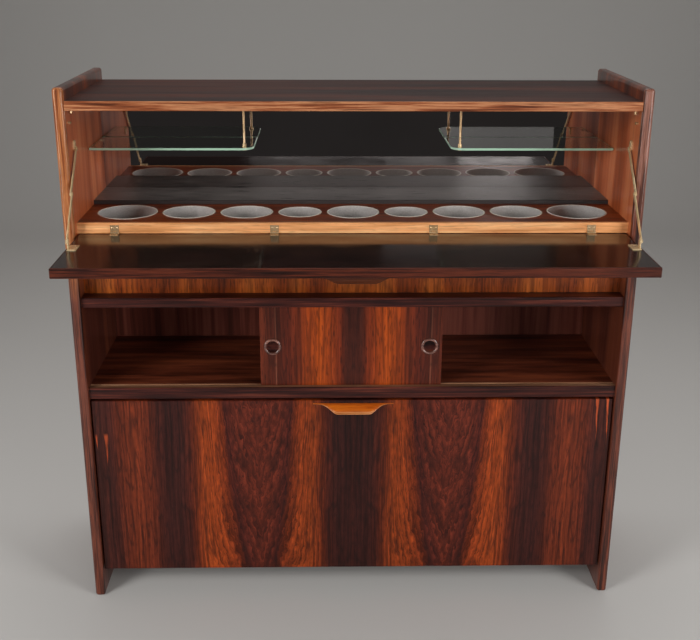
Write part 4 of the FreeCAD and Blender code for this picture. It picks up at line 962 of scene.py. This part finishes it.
@dataclass
class BarCompartment(Assembly):
    """Serving slab, mirror and the hung glass shelves."""

    dressing = ((Finishes.slab, "serving_slab"), (Finishes.mirror, "bar_mirror"),
                (Finishes.brass, "hanger_nuts", "shelf_pins"))
    arris: float = 0.7
    corner: float = 28.0
    back_corner: float = 1.5
    edge_tilt: float = 0.9
    rod: float = 2.5
    rod_end: float = 0.5
    rose: float = 7.0
    rose_height: float = 2.0
    rose_fillet: float = 3.0
    collar: float = 4.5
    collar_height: float = 4.0
    soft: float = 1.0
    segments: int = 32

    def outline(self, low: np.ndarray, high: np.ndarray, side: int) -> np.ndarray:
        """Give a glass shelf's outline: a rectangle whose free front corner is well rounded.

        Args:
            low: lowest corner in millimetres.
            high: highest corner in millimetres.
            side: -1 for the left shelf, 1 for the right one.

        Returns:
            Points round the shelf, shaped (points, 2).
        """
        small, large = self.back_corner, self.corner
        free, wall = (low[0], high[0]) if side > 0 else (high[0], low[0])
        inward = np.sign(wall - free)
        front, back = low[1], high[1]
        quarter = arc((0.0, 0.0), 1.0, 180, 270, 14)
        free_front = quarter * (inward * large, large) + (free + inward * large, front + large)
        tiny = arc((0.0, 0.0), small, 180, 270, 4)
        wall_front = tiny[::-1] * (-inward, 1) + (wall - inward * small, front + small)
        wall_back = tiny * (-inward, -1) + (wall - inward * small, back - small)
        free_back = tiny[::-1] * (inward, -1) + (free + inward * small, back - small)
        return np.concatenate([free_front, wall_front, wall_back, free_back])

    def shelf(self, name: str, side: int) -> None:
        """Build a glass shelf: its outline carried over a section with small ground arrises.

        Ring k of the surface is the outline drawn in towards the middle by the section's inset k, at its
        height k.

        Args:
            name: the side's name.
            side: -1 for the left shelf, 1 for the right one.
        """
        node = f"{name}_glass_shelf"
        low, high = span(node)
        ring = self.outline(low, high, side)
        middle = (low + high)[:2] / 2
        half = (high - low)[:2] / 2
        thick = high[2] - low[2]
        section = np.array([(half.min(), 0.0), (self.arris, 0.0), (0.0, self.arris),
                            (0.0, thick - self.arris), (self.arris, thick), (half.min(), thick)])
        draw_in = 1 - section[:, 0][:, None, None] / half
        draw_in[[0, -1]] = 0.0
        flat = middle + (ring - middle) * draw_in
        heights = np.broadcast_to(low[2] + section[:, 1][:, None, None], (*flat.shape[:2], 1))
        piece = surface(f"{node}_polished", (np.concatenate([flat, heights], axis=-1) * MM)[None])
        settle(piece, "carcass", Finishes.glass, node)
        repaint(piece, Finishes.glass_edge, np.abs(faces(piece, "normal")[:, 2]) < self.edge_tilt)

    def hanger(self, name: str) -> None:
        """Build a hanger: rose under the top, slim rod and collar on the glass, spun round its own axis.

        Args:
            name: the side's name.
        """
        node = f"{name}_shelf_hanger"
        low, high = span(node)
        foot, glass = low[2], span(f"{name}_glass_shelf")[1][2]
        collar_top, rose_foot = glass + self.collar_height, high[2] - self.rose_height
        profile = np.concatenate([
            [(0.0, foot), (self.rod - self.rod_end, foot), (self.rod, foot + self.rod_end), (self.rod, glass),
             (self.collar, glass)],
            arc((self.collar - self.soft, collar_top - self.soft), self.soft, 0, 90, 5),
            [(self.rod, collar_top), (self.rod, rose_foot - self.rose_fillet)],
            arc((self.rod + self.rose_fillet, rose_foot - self.rose_fillet), self.rose_fillet, 180, 90, 6),
            arc((self.rose - self.soft, rose_foot + self.soft), self.soft, -90, 0, 5),
            [(self.rose, high[2]), (0.0, high[2])],
        ])
        piece = surface(f"{node}_turned", turned(profile, (low + high) / 2 * (1, 1, 0), UP, self.segments))
        settle(piece, "carcass", Finishes.brass, node)

    def build(self) -> None:
        """Build the glass shelves and their hangers."""
        for name, side in (("left", -1), ("right", 1)):
            self.shelf(name, side)
            self.hanger(name)


@dataclass
class LipPull:
    """A lip pull: a hollowed wedge of solid wood whose ends run out to points."""

    width: float = 178.0
    flat: float = 69.0
    drop: float = 19.0
    reach: float = 21.0
    root: float = 12.0
    lip: float = 4.0
    tip: float = 1.5
    hollow: float = 2.0
    undercut: float = 3.0
    sweep: float = 1.7
    rim_tilt: float = 0.8
    sections: int = 121
    face_points: int = 12
    round_points: int = 9

    def points(self) -> np.ndarray:
        """Work out the pull on a face at Y 0 that looks to -Y, its top line at Z 0.

        Along the width the drop follows a raised cosine of share ** sweep, from the tips to the straight
        middle. Each section is the full one scaled by that drop: a hollow upper face, a round nose, an
        undercut under face and a flat back.

        Returns:
            Millimetre points, shaped (sections, points round, 3).
        """
        along = np.sin(np.linspace(-math.pi / 2, math.pi / 2, self.sections)) * self.width / 2
        run = (self.width - self.flat) / 2
        share = np.clip((self.width / 2 - np.abs(along)) / run, 0, 1) ** self.sweep
        share = self.tip / self.drop + (1 - self.tip / self.drop) * (1 - np.cos(math.pi * share)) / 2
        nose = self.lip / 2
        way = np.linspace(0, 1, self.face_points)[:, None]
        bow = 4 * way * (1 - way)
        sink = np.array([self.lip - self.drop, self.reach - nose])
        over = way * (nose - self.reach, self.lip - self.drop)
        over = over + bow * self.hollow * sink / np.linalg.norm(sink)
        front = arc((nose - self.reach, nose - self.drop), nose, 90, 270, self.round_points)
        below = (1 - way) * (nose - self.reach, -self.drop) + way * (0.0, -self.root)
        below = below + bow * (0.0, self.undercut)
        section = np.concatenate([over, front[1:-1], below])
        scaled = section[None] * share[:, None, None]
        xs = np.broadcast_to(along[:, None, None], (*scaled.shape[:2], 1))
        grid = np.concatenate([xs, scaled], axis=-1)
        ends = grid[[0, -1]].mean(axis=1, keepdims=True) + 0 * grid[[0, -1]]
        return np.concatenate([ends[:1], grid, ends[1:]])

    def build(self, body: str, finish: Finish, rim: Finish, node: str, seat: tuple[float, float],
              opened: bool) -> None:
        """Build the pull on its door.

        Args:
            body: the CAD body that carries it.
            finish: its wood.
            rim: the wood of its nose, on the lower door paler as a painted highlight.
            node: the CAD node that it replaces.
            seat: Y and Z of the face at the pull's top line.
            opened: whether the door lies open, face down.
        """
        turn = np.array(Matrix.Rotation(math.pi / 2 if opened else 0.0, 3, "X"))
        placed = self.points() @ turn.T + (0.0, *seat)
        piece = surface(f"{node}_shaped", (placed * MM)[None])
        settle(piece, body, finish, node)
        ahead = turn @ (0.0, -1.0, 0.0)
        repaint(piece, rim, faces(piece, "normal") @ ahead > self.rim_tilt)


@dataclass
class Flap(Assembly):
    """The fold-out shelf with its black laminate and lip pull."""

    dressing = ((Finishes.flap, "flap_panel"), (Finishes.laminate, "flap_laminate"))
    pull_edge: float = 16.0
    pull: LipPull = field(default_factory=LipPull)

    def build(self) -> None:
        """Build the pull under the open flap."""
        low, _ = span("flap_panel")
        # The pull's wood, nose included, is painted darker as painted shade.
        wood = Finishes.flap_pull
        self.pull.build("flap", wood, wood, "flap_pull", (low[1] + self.pull_edge, low[2]), True)


@dataclass
class SlidingDoor(Assembly):
    """The small sliding door with a turned finger pull at each end."""

    dressing = ((Finishes.sliding_door, "sliding_door_panel"),)
    bead: float = 6.0
    depth: float = 7.0
    dish: float = 4.0
    back_margin: float = 1.0
    segments: int = 56

    def finger_pull(self, name: str) -> None:
        """Build a finger pull: a beaded ring round a dished hollow, spun round the way through the door.

        Args:
            name: the side's name.
        """
        node = f"{name}_finger_pull"
        low, high = span(node)
        centre = (low + high) / 2 * (1, 0, 1)
        outer = (high[0] - low[0]) / 2
        half = self.bead / 2
        face = low[1] + half
        inner = outer - self.bead
        profile = np.concatenate([
            [(0.0, -high[1]), (outer, -high[1])],
            arc((outer - half, -face), half, 0, 180, 19),
            arc((inner - self.dish, self.dish - face - self.depth), self.dish, 0, -90, 7),
            [(0.0, -face - self.depth)],
        ])
        piece = surface(f"{node}_turned", turned(profile, centre, Vector((0, -1, 0)), self.segments))
        settle(piece, "sliding_door", Finishes.finger_pull, node)
        away = faces(piece, "center") / MM - centre
        sunk = (away[:, 1] > face) & (away[:, 1] < high[1] - self.back_margin)
        # The dish is painted darker as painted shade.
        repaint(piece, Finishes.hollow, sunk & (np.hypot(away[:, 0], away[:, 2]) < inner))

    def build(self) -> None:
        """Build both finger pulls."""
        for name in ("left", "right"):
            self.finger_pull(name)


@dataclass
class LowerDoor(Assembly):
    """The wide drop-front door with its lip pull."""

    dressing = ((Finishes.lower_door, "lower_door_panel"),)
    pull_edge: float = 7.0
    pull: LipPull = field(default_factory=LipPull)

    def build(self) -> None:
        """Build the pull under the door's top edge."""
        low, high = span("lower_door_panel")
        # The nose gets paler tones: a painted highlight.
        self.pull.build("lower_door", Finishes.pull, Finishes.pull_rim_highlight, "lower_door_pull",
                        (low[1], high[2] - self.pull_edge), False)


@dataclass(frozen=True)
class SoftLight:
    """A soft box: where it stands, what it looks at, its width, height and power in watts.

    One that is not in gloss shows in no mirror, glass or lacquer.
    """

    name: str
    place: Size
    target: Size
    width: float
    height: float
    power: float
    in_gloss: bool = True


@dataclass
class Studio:
    """Pale floor and sweep, soft lamps and the photograph's camera. Its sizes are metres."""

    floor_tone: str = "#c9c7c3"
    floor_roughness: float = 0.85
    world_tone: str = "#94908f"
    room_dark: float = -0.75
    room_light: float = 0.1
    room_dim: float = 0.1
    floor_near: float = -2.6
    floor_far: float = 3.2
    sweep: float = 1.6
    wall: float = 4.0
    half_width: float = 7.0
    bend_points: int = 24
    columns: int = 5
    lights: tuple[SoftLight, ...] = (
        SoftLight("key_soft_box", (-2.5, -2.2, 1.75), (0.0, 0.0, 0.8), 1.3, 1.3, 61.0),
        SoftLight("fill_soft_box", (2.6, -2.1, 1.65), (0.0, 0.0, 0.8), 1.3, 1.3, 48.0),
        SoftLight("low_left_soft_box", (-2.4, -2.3, 0.6), (0.0, 0.0, 0.8), 0.5, 0.6, 13.0),
        SoftLight("low_right_soft_box", (2.2, -2.5, 0.7), (0.3, 0.1, 0.6), 0.55, 0.65, 18.0),
        SoftLight("light_thrown_back_by_the_mirror", (0.0, 0.24, 0.99), (0.0, -0.1, 0.86), 1.1, 0.03, 0.35,
                  False),
        SoftLight("camera_right_soft_box", (0.76, -2.35, 1.02), (0.25, 0.1, 0.95), 0.34, 0.28, 3.4),
        SoftLight("camera_low_soft_box", (0.05, -2.35, 1.02), (0.0, 0.1, 0.95), 0.95, 0.28, 2.3),
        SoftLight("camera_right_reflector", (0.62, -2.3, 1.48), (0.25, 0.1, 0.95), 0.8, 0.5, 0.30),
        SoftLight("top_soft_box", (0.2, 1.0, 3.0), (0.0, 0.3, 0.6), 1.8, 1.8, 22.0),
    )
    focal_px: float = 1047.3
    image_width_px: float = 700.0
    sensor_mm: float = 36.0
    eye: Size = (-0.0558, -2.1876, 1.4246)
    yaw: float = 0.0225
    pitch: float = 0.3387
    roll: float = 0.0046

    def backdrop(self) -> None:
        """Build the floor and sweep: a flat run, a quarter round and an upright wall, carried along X."""
        bend = arc((self.floor_far, self.sweep), self.sweep, -90, 0, self.bend_points)
        profile = np.concatenate([[(self.floor_near, 0.0)], bend, [(self.floor_far + self.sweep, self.wall)]])
        xs = np.linspace(-self.half_width, self.half_width, self.columns)
        across, away = np.meshgrid(xs, profile[:, 0])
        height = np.meshgrid(xs, profile[:, 1])[1]
        floor = surface("studio_floor", np.stack([across, away, height], axis=-1)[None], wrap=False)
        finish = Mottled("matt_paper_sweep", ((0.35, self.floor_tone), (0.65, self.floor_tone)),
                         (400.0, 400.0, 400.0), self.floor_roughness)
        floor.data.materials.append(finish.material())

    def lamps(self) -> None:
        """Set up the soft boxes and a dim room that is darker on the photographer's side."""
        for light in self.lights:
            data = bpy.data.lights.new(light.name, "AREA")
            data.shape = "RECTANGLE"
            data.size, data.size_y, data.energy = light.width, light.height, light.power
            lamp = bpy.data.objects.new(light.name, data)
            lamp.location = light.place
            way = Vector(light.target) - Vector(light.place)
            lamp.rotation_euler = way.to_track_quat("-Z", "Y").to_euler()
            lamp.visible_camera = False
            lamp.visible_glossy = lamp.visible_transmission = light.in_gloss
            bpy.context.scene.collection.objects.link(lamp)
        world = bpy.data.worlds.new("studio_room")
        world.use_nodes = True
        tree = world.node_tree
        way = add(tree, "SeparateXYZ", (add(tree, "TexCoord", out="Generated"),)).node.outputs["Y"]
        depth = add(tree, "MapRange", (way, self.room_dark, self.room_light, self.room_dim))
        plug(tree, tree.nodes["Background"], {"Color": linear(self.world_tone), "Strength": depth})
        bpy.context.scene.world = world

    def camera(self) -> None:
        """Set up the camera from its eye point and its yaw, pitch and roll."""
        level = Matrix.Rotation(-self.yaw, 4, "Z") @ Matrix.Rotation(math.pi / 2 - self.pitch, 4, "X")
        data = bpy.data.cameras.new("photograph_camera")
        data.sensor_width = self.sensor_mm
        data.lens = self.focal_px / self.image_width_px * self.sensor_mm
        camera = bpy.data.objects.new("photograph_camera", data)
        camera.matrix_world = level @ Matrix.Rotation(self.roll, 4, "Z")
        camera.location = self.eye
        bpy.context.scene.collection.objects.link(camera)
        bpy.context.scene.camera = camera

    def build(self) -> None:
        """Set up the whole studio."""
        self.backdrop()
        self.lamps()
        self.camera()
        bpy.context.scene.view_settings.view_transform = "Standard"


def main() -> None:
    """Build and dress the cabinet's sub-assemblies in order, then the studio."""
    logging.basicConfig(level=logging.INFO, format="%(name)s: %(message)s")
    assemblies = (Carcass(), BottleWell(), BarCompartment(), Flap(), SlidingDoor(), LowerDoor(), Hardware())
    for assembly in assemblies:
        assembly.build()
        assembly.dress()
    Studio().build()


if __name__ == "__main__":
    main()
